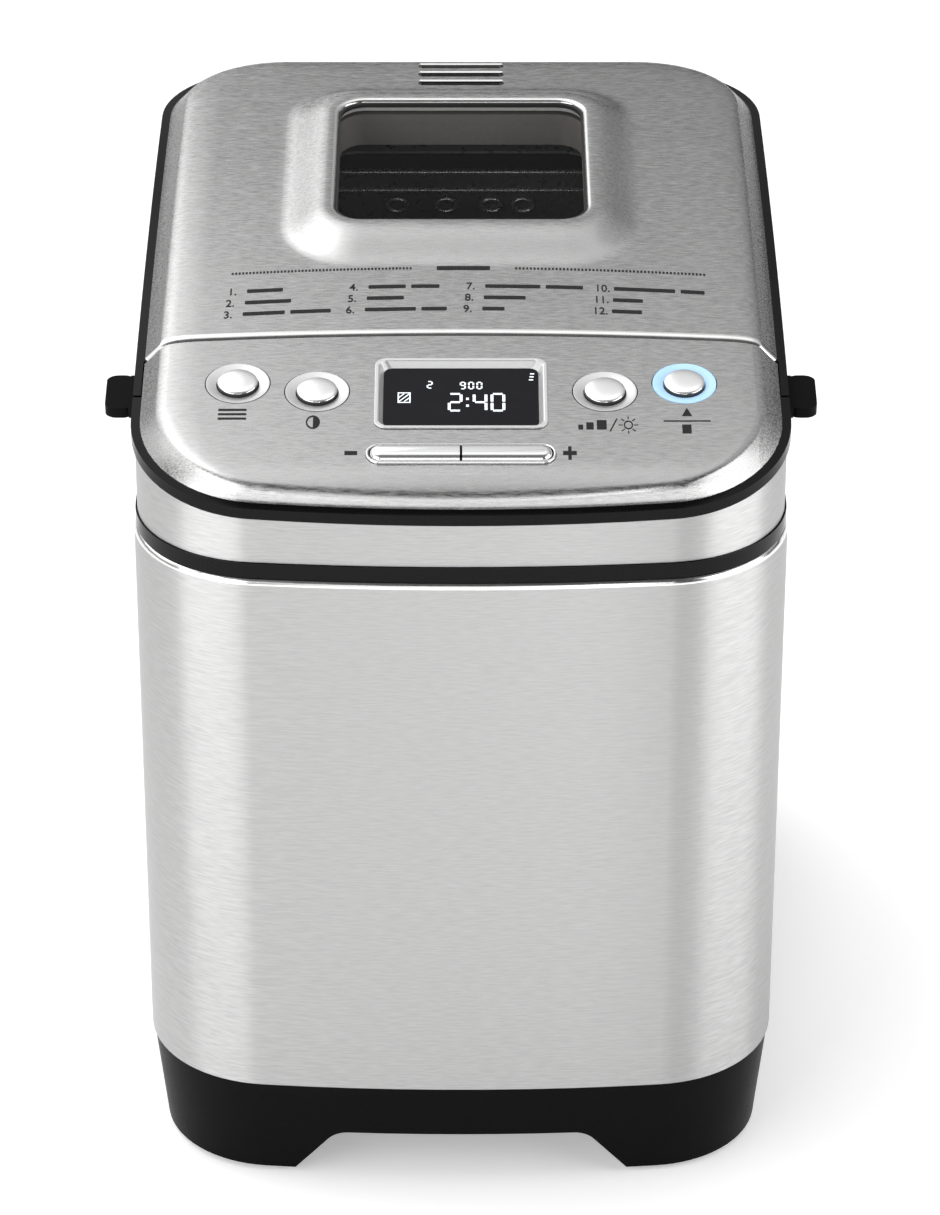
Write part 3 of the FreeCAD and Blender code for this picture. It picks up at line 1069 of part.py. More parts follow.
bush_top = "(pan_low_z + pan_floor)"
shaft_bore = "paddle_shaft_radius + run_clearance"
pan_tub = pan_loft("pan_tub", "0", "pan_low_z", "pan_top_z")
pan_space = pan_loft("pan_space", "pan_wall", bush_top, "pan_top_z + overrun")
pan_lip = prism("pan_lip", pan_section("pan_top_x", "pan_top_y", "-pan_rim"), "pan_top_z - pan_rim_height",
                "pan_top_z")
piece("bread_pan", cut("bread_pan", fuse("pan_form", pan_tub, pan_lip), pan_space,
                       upright("pan_bush_hole", "bush_radius + fit_clearance", "pan_low_z - overrun",
                               f"{bush_top} + overrun")))
collar_form = cut("collar_form", upright("collar_outer", "pan_collar_radius", "pan_collar_low", "pan_low_z"),
                  upright("collar_space", "pan_collar_radius - pan_collar_wall", "pan_collar_low - overrun",
                          "pan_low_z + overrun"))
pan_lugs = [sector(f"pan_lug_{place}", "pan_collar_radius - pan_collar_wall/2",
                   "pan_collar_radius + lug_reach", f"{hook_low} - lug_drop - lug_height", "lug_height", turn)
            for place, turn in enumerate(hook_turns)]
piece("pan_collar", fuse("pan_collar", collar_form, *pan_lugs))
seal_low = f"({bush_top} + bush_flange)"
seal_top = f"({seal_low} + seal_height)"
piece("pan_bush", move(turned(
    "pan_bush", (shaft_bore, "bush_low"), ("bush_radius", "bush_low"), ("bush_radius", bush_top),
    ("bush_flange_radius", bush_top), ("bush_flange_radius", seal_low), (shaft_bore, seal_low)),
    "0", "chamber_y"))
piece("shaft_seal", move(turned(
    "shaft_seal", (shaft_bore, seal_low), ("seal_radius", seal_low), ("seal_radius - seal_lip", seal_top),
    (shaft_bore, seal_top)), "0", "chamber_y"))

# Handle ears riveted to the pan's sides, and the wire bail that hangs in them.
ear_x = "(pan_top_x + pan_rim)"
ear_out = f"({ear_x} + ear_thickness)"
ear_top = "(pan_top_z + ear_rise)"
pivot_z = "(pan_top_z + ear_pivot)"
ears, rivets = [], []
for side, sign in sides:
    near, outer = (ear_x, ear_out) if sign == "" else (f"-{ear_out}", f"-{ear_x}")
    plate = box(f"ear_plate_{side}", (near, "chamber_y - ear_width/2", f"{ear_top} - ear_height"),
                (outer, "chamber_y + ear_width/2", ear_top))
    ears.append(cut(f"ear_{side}", plate, cylinder(
        f"ear_hole_{side}", "bail_radius + fit_clearance", "ear_thickness + 2*tool_margin",
        f"{near} - tool_margin", "chamber_y", pivot_z, "X")))
    head_x = ear_out if sign == "" else f"-{ear_out} - rivet_head"
    for row, offset in (("front", "-ear_width/4"), ("rear", "ear_width/4")):
        rivets.append(cylinder(f"rivet_{side}_{row}", "rivet_radius", "rivet_head", head_x,
                               f"chamber_y + {offset}", "pan_top_z - rivet_drop", "X"))
piece("handle_ears", group("handle_ears", *ears))
piece("ear_rivets", group("ear_rivets", *rivets))
bail_x = f"({ear_x} - bail_radius - bail_gap)"
bail_y = "chamber_y + bail_reach"
piece("pan_handle", tube("pan_handle", [
    (f"-{ear_out} - bail_tail", "chamber_y", pivot_z), (f"-{bail_x}", "chamber_y", pivot_z),
    (f"-{bail_x}", bail_y, pivot_z), (bail_x, bail_y, pivot_z), (bail_x, "chamber_y", pivot_z),
    (f"{ear_out} + bail_tail", "chamber_y", pivot_z)], "bail_radius",
    ["bail_elbow", "bail_bend", "bail_bend", "bail_elbow"]))

# Paddle shaft in the pan's bush, its drive wing below and the kneading paddle on top.
wing_top = "(wing_low + wing_height)"
piece("paddle_shaft", upright("paddle_shaft", "paddle_shaft_radius", "wing_low", "paddle_shaft_top"))
wing_bar = box("wing_bar", ("-wing_length/2", "chamber_y - wing_width/2", "wing_low"),
               ("wing_length/2", "chamber_y + wing_width/2", wing_top))
piece("drive_wing", cut("drive_wing", fuse("wing_form", wing_bar, upright("wing_boss", "wing_hub", "wing_low",
                                                                         wing_top)),
                        upright("wing_bore", shaft_bore, "wing_low - overrun", f"{wing_top} + overrun")))
hub_low = f"({seal_top} + hub_gap)"
hub_top = f"({hub_low} + hub_height)"
blade = prism("blade", polygon(
    ("hub_radius - blade_root", hub_low), ("bush_flange_radius + blade_step", hub_low),
    ("bush_flange_radius + blade_step", "blade_low"), ("blade_reach", "blade_low"),
    ("blade_reach - blade_rake", "blade_low + blade_height"),
    ("hub_radius - blade_root", f"{hub_top} - blade_root")),
    "-chamber_y - blade_thickness/2", "-chamber_y + blade_thickness/2", "XZ_Plane")
piece("kneading_paddle", cut(
    "kneading_paddle", fuse("paddle_form", upright("paddle_hub", "hub_radius", hub_low, hub_top), blade),
    upright("paddle_bore", "paddle_shaft_radius + fit_clearance", f"{hub_low} - overrun",
            f"{hub_top} + overrun")))

# Spindle in its flanged bearing, with the drive dog above and the large pulley below.
spindle_bore = "spindle_radius + run_clearance"
flange_high = f"({chassis_top} + bearing_flange)"
piece("spindle_bearing", move(turned(
    "spindle_bearing", (spindle_bore, "bearing_low"), ("bearing_radius", "bearing_low"),
    ("bearing_radius", chassis_top), ("bearing_flange_radius", chassis_top),
    ("bearing_flange_radius", flange_high), ("bearing_radius", flange_high),
    ("bearing_radius", "bearing_top"), (spindle_bore, "bearing_top")), "0", "chamber_y"))
dog_low = "(bearing_top + dog_gap)"
dog_top = f"({dog_low} + dog_disc)"
piece("spindle", upright("spindle", "spindle_radius", "spindle_low", dog_top))
dog_plate = cut("dog_plate", upright("dog_form", "dog_radius", dog_low, dog_top),
                upright("dog_bore", spindle_bore, f"{dog_low} - overrun", f"{dog_top} + overrun"))
dog_posts = [box(f"dog_post_{side}", ("-dog_post/2", f"chamber_y + {sign}dog_post_at - dog_post/2", dog_low),
                 ("dog_post/2", f"chamber_y + {sign}dog_post_at + dog_post/2",
                  f"{dog_top} + dog_post_height")) for side, sign in sides]
piece("drive_dog", fuse("drive_dog", dog_plate, *dog_posts))
pulley_top = "(pulley_low + pulley_height)"


def pulley(name, groove, bore, hub, y):
    rim = f"{groove} + pulley_flange"
    hub_low, hub_high = "pulley_low - pulley_step", f"{pulley_top} + pulley_step"
    groove_low, groove_high = "pulley_low + pulley_lip", f"{pulley_top} - pulley_lip"
    return move(turned(name, (bore, hub_low), (hub, hub_low), (hub, "pulley_low"), (rim, "pulley_low"),
                       (rim, groove_low), (groove, groove_low), (groove, groove_high), (rim, groove_high),
                       (rim, pulley_top), (hub, pulley_top), (hub, hub_high), (bore, hub_high)), "0", y)


pulley_holes = []
for place in range(SIZES["pulley_holes"]):
    around = f"{place}*360/pulley_holes"
    pulley_holes.append(cylinder(
        f"pulley_hole_{place}", "pulley_hole", "pulley_height + 2*overrun", f"pulley_hole_at*cos({around})",
        f"chamber_y + pulley_hole_at*sin({around})", "pulley_low - overrun"))
piece("large_pulley", cut("large_pulley", pulley("pulley_form", "pulley_groove", spindle_bore, "pulley_hub",
                                                 "chamber_y"), *pulley_holes))
belt_low = "(pulley_low + (pulley_height - belt_width)/2)"
belt_top = f"({belt_low} + belt_width)"


def belt_block(name, extra, low, high):
    return prism(name, belt_line(f"motor_pulley_groove + {extra}", "motor_y", f"pulley_groove + {extra}",
                                 "chamber_y"), low, high)


belt_outer = belt_block("belt_outer", "belt_clearance + belt_thickness", belt_low, belt_top)
belt_inner = belt_block("belt_inner", "belt_clearance", f"{belt_low} - overrun", f"{belt_top} + overrun")
piece("drive_belt", cut("drive_belt", belt_outer, belt_inner))

# Motor on the chassis: vented can, shaft down to its pulley and up to the cooling fan.
motor_top = f"({chassis_top} + motor_height)"
motor_foot = f"({chassis_top} + motor_flange)"
motor_bore = "motor_shaft_radius + run_clearance"
motor_can = move(turned(
    "motor_can", (motor_bore, "chassis_z"), ("motor_boss", "chassis_z"), ("motor_boss", chassis_top),
    ("motor_flange_radius", chassis_top), ("motor_flange_radius", motor_foot), ("motor_radius", motor_foot),
    ("motor_radius", f"{motor_top} - motor_bevel"), ("motor_radius - motor_bevel", motor_top),
    (motor_bore, motor_top)), "0", "motor_y")
motor_vents = []
for place in range(SIZES["motor_slots"]):
    around = f"{place}*360/motor_slots"
    motor_vents.append(cylinder(
        f"motor_vent_{place}", "motor_slot/2", "motor_vent_length", f"motor_radius*cos({around})",
        f"motor_y + motor_radius*sin({around})", f"{chassis_top} + motor_vent_low"))
piece("motor_body", cut("motor_body", motor_can, *motor_vents))
fan_low = f"({motor_top} + fan_gap)"
fan_top = f"({fan_low} + fan_height)"
piece("motor_shaft", upright("motor_shaft", "motor_shaft_radius", "pulley_low - shaft_tail", fan_top,
                             "motor_y"))
piece("motor_pulley", pulley("motor_pulley", "motor_pulley_groove", motor_bore, "motor_pulley_hub",
                             "motor_y"))
fan_parts = [upright("fan_boss", "fan_hub", fan_low, fan_top, "motor_y")]
for place in range(SIZES["fan_blades"]):
    vane = doc.addObject("Part::Box", f"fan_vane_{place}")
    vane.Placement = Placement(Vector(), Rotation(Vector(0, 0, 1), 1))
    bind(vane, Length="fan_radius", Width="fan_blade", Height="fan_height",
         Placement__Rotation__Angle=f"({place} + 1/2)*360/fan_blades")
    fan_parts.append(move(vane, "0", "motor_y", fan_low))
piece("motor_fan", cut("motor_fan", fuse("fan_form", *fan_parts), upright(
    "fan_bore", motor_bore, f"{fan_low} - overrun", f"{fan_top} + overrun", "motor_y")))

# Motor capacitor, power board with its transformer, and the gland for the mains lead.
can_top = f"({chassis_top} + capacitor_height)"
cap_end = f"({can_top} + capacitor_cap)"
piece("motor_capacitor", move(turned(
    "motor_capacitor", ("0", chassis_top), ("capacitor_radius", chassis_top), ("capacitor_radius", can_top),
    ("capacitor_boss", can_top), ("capacitor_boss", cap_end), ("0", cap_end)), "capacitor_x", "capacitor_y"))
power_sheet = box("power_sheet", ("power_x", "power_front", chassis_top),
                  ("power_x + power_thickness", "power_front + power_length",
                   f"{chassis_top} + power_height"))
core_y = "(power_front + transformer_front)"
core_z = f"({chassis_top} + transformer_low)"
power_core = box("power_core", ("power_x - transformer_depth", core_y, core_z),
                 ("power_x", f"{core_y} + transformer", f"{core_z} + transformer"))
piece("power_board", fuse("power_board", power_sheet, power_core))


def gland_bar(name, radius, length, margin):
    """Round bar at the gland, let in from the back by length, longer by margin at each end."""
    return cylinder(name, radius, f"{length} + 2*{margin}", "gland_x", f"body_depth/2 - {length} - {margin}",
                    "gland_z", "Y")


gland_form = fuse("gland_form", gland_bar("gland_disc", "gland_flange_radius", "gland_flange", "0"),
                  gland_bar("gland_barrel", "gland_radius", "gland_length", "0"))
piece("cord_gland", cut("cord_gland", gland_form, gland_bar("gland_passage", "gland_bore", "gland_length",
                                                           "overrun")))

doc.recompute()
faults = [item.Name for item in doc.Objects if {"Invalid", "Error"} & set(item.State)]
if faults:
    raise RuntimeError("failed objects: " + ", ".join(faults))
for name, item in pieces.items():
    if item.Shape.isNull() or not item.Shape.isValid() or not item.Shape.Solids:
        raise RuntimeError("bad shape: " + name)

os.makedirs("parts", exist_ok=True)
for name, item in pieces.items():
    item.Shape.exportStep(f"parts/{name}.step")
    print(f"{name:20s} solids {len(item.Shape.Solids)} volume {item.Shape.Volume:10.0f}")
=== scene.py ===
import json
import math

import bmesh
import bpy
from mathutils import Matrix, Vector


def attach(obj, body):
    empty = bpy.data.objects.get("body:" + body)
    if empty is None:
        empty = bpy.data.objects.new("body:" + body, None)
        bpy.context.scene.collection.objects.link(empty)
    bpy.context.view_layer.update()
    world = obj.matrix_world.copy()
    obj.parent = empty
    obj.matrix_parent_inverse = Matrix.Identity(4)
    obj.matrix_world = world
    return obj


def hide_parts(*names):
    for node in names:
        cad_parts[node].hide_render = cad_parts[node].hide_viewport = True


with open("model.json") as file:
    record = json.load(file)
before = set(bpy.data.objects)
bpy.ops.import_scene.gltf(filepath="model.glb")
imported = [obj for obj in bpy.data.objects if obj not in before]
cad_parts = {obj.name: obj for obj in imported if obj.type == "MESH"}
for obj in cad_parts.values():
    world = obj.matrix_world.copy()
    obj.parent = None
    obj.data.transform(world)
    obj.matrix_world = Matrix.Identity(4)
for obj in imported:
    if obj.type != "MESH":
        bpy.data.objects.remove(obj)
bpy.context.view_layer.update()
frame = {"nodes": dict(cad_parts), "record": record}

# Base tray. One black moulding with a fine spark-eroded skin, ribbed inside and arched at the front
# and back; the steel wrap slips over its tongue and four screws pull it up to the chassis plate.
mm = 0.001
weld = 0.001 * mm
body_of = {node: body for body, nodes in frame["record"]["behaviour"]["bodies"].items() for node in nodes}


def link(tree, *steps):
    """Join node sockets, each step written as (node, output, node, input)."""
    for source, output, target, entry in steps:
        tree.links.new(source.outputs[output], target.inputs[entry])


def finish(name, colour, roughness, metallic=0.0, grain=(800, 800, 800), tone=0.1, spread=0.05,
           relief=0.004 * mm, detail=3.0, specular=0.5):
    """A finish whose colour, gloss and relief follow a noise stretched along the grain."""
    material = bpy.data.materials.new(name)
    material.use_nodes = True
    tree = material.node_tree
    shader = tree.nodes["Principled BSDF"]
    shader.inputs["Metallic"].default_value = metallic
    shader.inputs["Specular IOR Level"].default_value = specular
    place = tree.nodes.new("ShaderNodeTexCoord")
    stretch = tree.nodes.new("ShaderNodeMapping")
    stretch.inputs["Scale"].default_value = grain
    noise = tree.nodes.new("ShaderNodeTexNoise")
    noise.inputs["Scale"].default_value = 1.0
    noise.inputs["Detail"].default_value = detail
    shades = tree.nodes.new("ShaderNodeValToRGB")
    for stop, position, swing in zip(shades.color_ramp.elements, (0.3, 0.7), (1 - tone, 1 + tone)):
        stop.position = position
        stop.color = (*[min(1.0, part * swing) for part in colour], 1.0)
    gloss = tree.nodes.new("ShaderNodeMapRange")
    gloss.inputs["From Min"].default_value = 0.3
    gloss.inputs["From Max"].default_value = 0.7
    gloss.inputs["To Min"].default_value = max(0.02, roughness - spread)
    gloss.inputs["To Max"].default_value = roughness + spread
    bump = tree.nodes.new("ShaderNodeBump")
    bump.inputs["Distance"].default_value = relief
    link(tree, (place, "Object", stretch, "Vector"), (stretch, "Vector", noise, "Vector"),
         (noise, "Fac", shades, "Fac"), (shades, "Color", shader, "Base Color"),
         (noise, "Fac", gloss, "Value"), (gloss, "Result", shader, "Roughness"),
         (noise, "Fac", bump, "Height"), (bump, "Normal", shader, "Normal"))
    return material


def add_piece(name, mesh, body, material, slot, *nodes):
    """Turn a bmesh into a piece that rides on a body and stands for the named nodes."""
    data = bpy.data.meshes.new(name)
    mesh.to_mesh(data)
    mesh.free()
    data.materials.append(material)
    item = bpy.data.objects.new(name, data)
    bpy.context.scene.collection.objects.link(item)
    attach(item, body)
    if nodes:
        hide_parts(*nodes)
    return item


def smooth_faces(mesh, crease=32):
    """Shade a mesh smooth, with a hard edge wherever it turns by more than the crease angle."""
    for face in mesh.faces:
        face.smooth = True
    for edge in mesh.edges:
        edge.smooth = edge.is_manifold and edge.calc_face_angle() < math.radians(crease)


def ease_edges(item, width):
    """Round a piece's hard edges over a small width."""
    soft = item.modifiers.new("soft_edge", "BEVEL")
    soft.width = width
    soft.segments = 3
    soft.limit_method = "ANGLE"
    soft.angle_limit = math.radians(50)


def node_mesh(node):
    """A copy of a node's mesh with its doubled points merged."""
    mesh = bmesh.new()
    mesh.from_mesh(frame["nodes"][node].data)
    bmesh.ops.remove_doubles(mesh, verts=mesh.verts, dist=weld)
    return mesh


def even_normals(item):
    """Weigh a piece's shading by the size of its faces, hard edges kept."""
    weights = item.modifiers.new("even_normals", "WEIGHTED_NORMAL")
    weights.keep_sharp = True


def dress(node, material, slot, crease=32, edge=0.0):
    """A smoothly shaded copy of a node in its finish, its hard edges eased where edge is given."""
    mesh = node_mesh(node)
    smooth_faces(mesh, crease)
    item = add_piece(f"{node}_dressed", mesh, body_of[node], material, slot, node)
    if edge:
        ease_edges(item, edge)
    even_normals(item)
    return item


black_moulding = finish("black_moulding", (0.005, 0.005, 0.0055), 0.38, grain=(1500, 1500, 1500), tone=0.2,
                        specular=0.035)
dress("base_tray", black_moulding, "black_moulding")

# Feet and base screws. Moulded rubber pads pressed into the base's posts carry the machine, and zinc
# plated pan-head screws run up through the columns into the chassis plate.
rubber = finish("foot_rubber", (0.018, 0.018, 0.018), 0.75, grain=(900, 900, 900), tone=0.2)
dress("foot_pads", rubber, "rubber")
zinc_sheet = finish("zinc_sheet", (0.55, 0.56, 0.57), 0.38, 1.0, grain=(90, 90, 90), tone=0.16, spread=0.1)
dress("base_screws", zinc_sheet, "zinc_sheet")

# Chassis and baking chamber. The zinc plated chassis plate stands on the base, the coated liner stands
# on it on four spacers with two ribs and four rings pressed into its back wall, and the tubular element
# runs round the liner held by clips.
for node in ("chassis_plate", "liner_spacers", "element_clips"):
    dress(node, zinc_sheet, "zinc_sheet")
chamber_coat = finish("chamber_coat", (0.2, 0.197, 0.197), 0.3, 0.5, grain=(300, 300, 300), tone=0.06,
                      relief=0.0)
dress("chamber_liner", chamber_coat, "chamber_coat")
rib_y, rib_radius, rib_length = 124 * mm, 0.9 * mm, 130 * mm
ribs = bmesh.new()
for height in (261.6, 254.4):
    bar = Matrix.Translation((0, rib_y, height * mm)) @ Matrix.Rotation(math.pi / 2, 4, "Y")
    bmesh.ops.create_cone(ribs, cap_ends=True, segments=16, radius1=rib_radius, radius2=rib_radius,
                          depth=rib_length, matrix=bar)
emboss_radius, emboss_bead, emboss_flat, emboss_height = 3.7 * mm, 0.8 * mm, 0.66, 248.6 * mm
upright = Matrix.Rotation(math.pi / 2, 4, "X")
for x in (-23.5, -5.4, 11.2, 22.8):
    known = set(ribs.verts)
    start = bmesh.ops.create_circle(ribs, segments=10, radius=emboss_bead,
                                    matrix=Matrix.Translation((emboss_radius, 0, 0)) @ upright)["verts"]
    loop = start + list({edge for vert in start for edge in vert.link_edges})
    bmesh.ops.spin(ribs, geom=loop, cent=(0, 0, 0), axis=(0, 0, 1), angle=2 * math.pi, steps=32,
                   use_merge=True)
    emboss = [vert for vert in ribs.verts if vert not in known]
    bmesh.ops.transform(ribs, verts=emboss, matrix=Matrix.Translation((x * mm, rib_y, emboss_height))
                        @ Matrix.Diagonal((1, 1, emboss_flat, 1)) @ upright)
bmesh.ops.remove_doubles(ribs, verts=ribs.verts, dist=weld)
bmesh.ops.recalc_face_normals(ribs, faces=ribs.faces)
smooth_faces(ribs)
# The ribs and rings take a much lighter, metallic copy of the dark chamber coat: a painted highlight, so they
# show as bright lines.
rib_painted_highlight = finish("rib_painted_highlight", (0.75, 0.75, 0.76), 0.28, 0.8, grain=(900, 900, 900), tone=0.1)
add_piece("chamber_ribs", ribs, "housing", rib_painted_highlight, "chamber_coat")
element_sheath = finish("element_sheath", (0.2, 0.19, 0.18), 0.42, 1.0, grain=(160, 160, 160), tone=0.3)
dress("heating_element", element_sheath, "element_sheath")
bright_steel = finish("bright_steel", (0.72, 0.72, 0.72), 0.16, 1.0, grain=(500, 500, 500), tone=0.05,
                      spread=0.04, relief=0.001 * mm)
dress("temperature_sensor", bright_steel, "bright_steel")

# Pan socket and drive. The die-cast bayonet socket and the spindle's bronze bearing are riveted to the
# chassis; a steel spindle carries the dog above and the large nylon pulley below.
die_cast = finish("die_cast", (0.56, 0.56, 0.57), 0.42, 1.0, grain=(260, 260, 260), tone=0.12,
                  relief=0.02 * mm)
for node in ("pan_socket", "drive_dog"):
    dress(node, die_cast, "die_cast")
bearing_bronze = finish("bearing_bronze", (0.58, 0.41, 0.2), 0.45, 1.0, grain=(1500, 1500, 1500), tone=0.18)
dress("spindle_bearing", bearing_bronze, "bearing_bronze")
for node in ("spindle", "motor_shaft"):
    dress(node, bright_steel, "bright_steel")
nylon = finish("nylon", (0.74, 0.73, 0.68), 0.45, grain=(700, 700, 700), tone=0.04)
for node in ("large_pulley", "motor_pulley", "motor_fan"):
    dress(node, nylon, "nylon")
dress("drive_belt", rubber, "rubber")

# Motor and electrics. The painted motor hangs from the chassis with its fan above, with its capacitor
# and the power board beside it; a rubber gland is pushed into the hole in the back wall.
motor_paint = finish("motor_paint", (0.12, 0.125, 0.13), 0.4, grain=(500, 500, 500), tone=0.12)
dress("motor_body", motor_paint, "motor_paint")
capacitor_can = finish("capacitor_can", (0.7, 0.7, 0.66), 0.35, grain=(300, 300, 300), tone=0.04)
dress("motor_capacitor", capacitor_can, "capacitor_can")
circuit_board = finish("circuit_board", (0.03, 0.16, 0.07), 0.4, grain=(260, 260, 260), tone=0.25)
for node in ("power_board", "control_board"):
    dress(node, circuit_board, "circuit_board")
dress("cord_gland", rubber, "rubber")


# Body wrap. Thin stainless sheet bent round the plan form, brushed level all round, with its top edge
# rolled inwards and two columns of vents pressed through the back. The rim band above the black frame is
# the same sheet.
def brushed(name, grain, lie, tone=0.14, roughness=0.4, anisotropy=0.88):
    """Stainless brushed along one line; its gloss spreads across the brushing, along lie."""
    material = finish(name, (0.48, 0.48, 0.478), roughness, 1.0, grain, tone, 0.07, 0.0012 * mm, 4.0)
    tree = material.node_tree
    shader = tree.nodes["Principled BSDF"]
    shader.inputs["Anisotropic"].default_value = anisotropy
    across = tree.nodes.new("ShaderNodeCombineXYZ")
    for axis, part in zip("XYZ", lie):
        across.inputs[axis].default_value = part
    turned = tree.nodes.new("ShaderNodeVectorTransform")
    turned.vector_type = "VECTOR"
    turned.convert_from = "OBJECT"
    turned.convert_to = "WORLD"
    link(tree, (across, "Vector", turned, "Vector"), (turned, "Vector", shader, "Tangent"))
    return material


wrap_steel = brushed("wrap_steel", (160, 160, 1700), (0, 0, 1))
polished_edge = finish("polished_edge", (0.8, 0.8, 0.795), 0.2, 1.0, grain=(200, 200, 200), tone=0.02,
                       spread=0.02, relief=0.0)
wrap_roll = 232.7 * mm
wrap_piece = dress("body_wrap", wrap_steel, "stainless")
wrap_piece.data.materials.append(polished_edge)
for face in wrap_piece.data.polygons:
    face.material_index = int(face.center.z > wrap_roll)
rim_piece = dress("rim_band", wrap_steel, "stainless", edge=0.4 * mm)
rim_piece.data.materials.append(polished_edge)
rim_piece.modifiers["soft_edge"].material = 1

# Upper frame. A black moulded ring that clips over the wrap, shows as the band under the rim and as the
# trim round the panel, and carries the panel's bulkhead, the chamber collar and the hinge lugs.
gloss_black = finish("gloss_black", (0.004, 0.004, 0.0045), 0.16, grain=(1200, 1200, 1200), tone=0.2,
                     spread=0.03, relief=0.001 * mm, specular=0.12)
dress("upper_frame", gloss_black, "black_moulding", edge=0.7 * mm)

# Control panel. A stainless pressing brushed from side to side, crowned like the lid, with a soft
# shoulder round its edge and a rolled rear edge; openings take the display, the rings and the pill.
crown_height, crown_radius, crown_apex = 302 * mm, 1150 * mm, 138 * mm
front_radius, corner_radius, half_width, half_depth = 700 * mm, 44 * mm, 107.5 * mm, 144 * mm
split_y, split_gap = -66.6 * mm, 0.5 * mm
sheet, fuzz = 1 * mm, 0.0001 * mm
nose_start, nose_run, nose_drop, shoulder_drop = -126 * mm, 15 * mm, 3.2 * mm, 7.4 * mm
side_shoulder = ((20, 0), (16.5, 0.08), (13.6, 0.28), (11.6, 0.55), (10.2, 0.9), (9.2, 1.3), (8.5, 1.75),
                 (8, 2.25), (6.4, 3.95), (4.6, 5.8), (3, 7.4))
front_shoulder = ((10, 0), (7, 0), (5, 0), (4.4, 0.05), (3.95, 0.2), (3.6, 0.45), (3.3, 0.85),
                  (3.1, 1.4), (3, 2.2), (3, 4.6), (3, 7.4))
split_bow, bow_half, bow_zone = 4.2 * mm, 100 * mm, 12 * mm
panel_roll, lid_roll = 0.6 * mm, 3 * mm
panel_middle = -99 * mm
panel_tilt = math.asin((crown_apex - panel_middle) / crown_radius)
outer_button, inner_button = (72.8 * mm, -88.9 * mm), (46.8 * mm, -93.1 * mm)
button_places = [(-outer_button[0], outer_button[1]), (-inner_button[0], inner_button[1]), inner_button,
                 outer_button]
display_y, display_half = -94.2 * mm, (25.2 * mm, 15.5 * mm)
pill_y, pill_half = -124.6 * mm, (29.4 * mm, 3.8 * mm)
ring_hole, bezel_margin, bezel_round = 10.75 * mm, 2.3 * mm, 3 * mm
pill_margin, pill_round, through = 1.2 * mm, 4.4 * mm, 8 * mm
strip_width = 12 * mm


def nose(y):
    """How far the panel's front falls away below the crown at y."""
    return nose_drop * (max(0.0, nose_start - y) / nose_run)**3


def crown(y):
    """Height of the crowned top at y."""
    return crown_height - crown_radius + math.sqrt(crown_radius**2 - (y - crown_apex)**2) - nose(y)


def seat(x, y):
    """The place on the panel at x, y, square to the panel's slope."""
    return Matrix.Translation((x, y, crown(y))) @ Matrix.Rotation(panel_tilt, 4, "X")


def plan_loop(mesh, inset, drop, front_inset, front_drop):
    """A closed loop of the plan form, inset from the wall and a drop below the crown at sides and front."""
    corner_x = half_width - corner_radius
    lean = math.asin(corner_x / (front_radius - corner_radius))
    arc_y = front_radius - half_depth
    corner_y = arc_y - (front_radius - corner_radius) * math.cos(lean)
    end = mesh.verts.new((0, inset - half_depth, 0))
    known = set(mesh.verts) - {end}
    runs = ((lean, (0, arc_y, 0), 10, 0), (math.pi / 2 - lean, (corner_x, corner_y, 0), 14, 0),
            (0, (0, 0, 0), 26, half_depth - corner_radius - corner_y),
            (math.pi / 2, (corner_x, half_depth - corner_radius, 0), 14, 0))
    for angle, centre, steps, run in runs:
        last = bmesh.ops.spin(mesh, geom=[end], cent=centre, axis=(0, 0, 1), angle=angle, steps=steps,
                              dvec=(0, run / steps, 0))["geom_last"]
        end = [part for part in last if isinstance(part, bmesh.types.BMVert)][0]
    half = [vert for vert in mesh.verts if vert not in known]
    edges = {edge for vert in half for edge in vert.link_edges}
    bmesh.ops.mirror(mesh, geom=half + list(edges), axis="X", merge_dist=weld)
    loop = [vert for vert in mesh.verts if vert not in known]
    back = [vert for vert in loop if len(vert.link_edges) == 1]
    mesh.edges.new(back)
    for vert in loop:
        ahead = max(0.0, corner_y - vert.co.y)
        facing = (ahead / max(ahead, math.hypot(ahead, max(0.0, abs(vert.co.x) - corner_x)), 0.1 * mm))**2
        vert.co.y -= (inset - front_inset) * facing
        fall = drop + (front_drop - drop) * facing
        vert.co.z = crown(vert.co.y) - fall * (1 - nose(vert.co.y) / shoulder_drop)
    return list({edge for vert in loop for edge in vert.link_edges})


def roll_edge(mesh, cut_y, toward, radius):
    """Roll the sheet's open edge at cut_y down over a radius."""
    edges = [edge for edge in mesh.edges if edge.is_boundary
             and all(abs(vert.co.y - cut_y) < weld for vert in edge.verts)]
    turns = 6
    steps = [(radius * (math.sin(b) - math.sin(a)), radius * (math.cos(b) - math.cos(a)))
             for a, b in ((math.pi / 2 * k / turns, math.pi / 2 * (k + 1) / turns) for k in range(turns))]
    hem = 1.6 * mm
    for out, down in steps + [(0, -hem)]:
        grown = bmesh.ops.extrude_edge_only(mesh, edges=edges)["geom"]
        verts = [part for part in grown if isinstance(part, bmesh.types.BMVert)]
        edges = [part for part in grown if isinstance(part, bmesh.types.BMEdge)
                 and all(vert in verts for vert in part.verts)]
        bmesh.ops.translate(mesh, verts=verts, vec=(0, toward * out, down))
        for face in {face for edge in edges for face in edge.link_faces}:
            face.material_index = 1


def bow_split(mesh, cut_y, toward):
    """Bow the sheet's edge at the split back towards its middle, along the crown."""
    for vert in mesh.verts:
        near = min(1.0, max(0.0, 1 + toward * (vert.co.y - cut_y) / bow_zone))
        shift = split_bow * max(0.0, 1 - (vert.co.x / bow_half)**2) * near
        vert.co.z += crown(vert.co.y + shift) - crown(vert.co.y)
        vert.co.y += shift


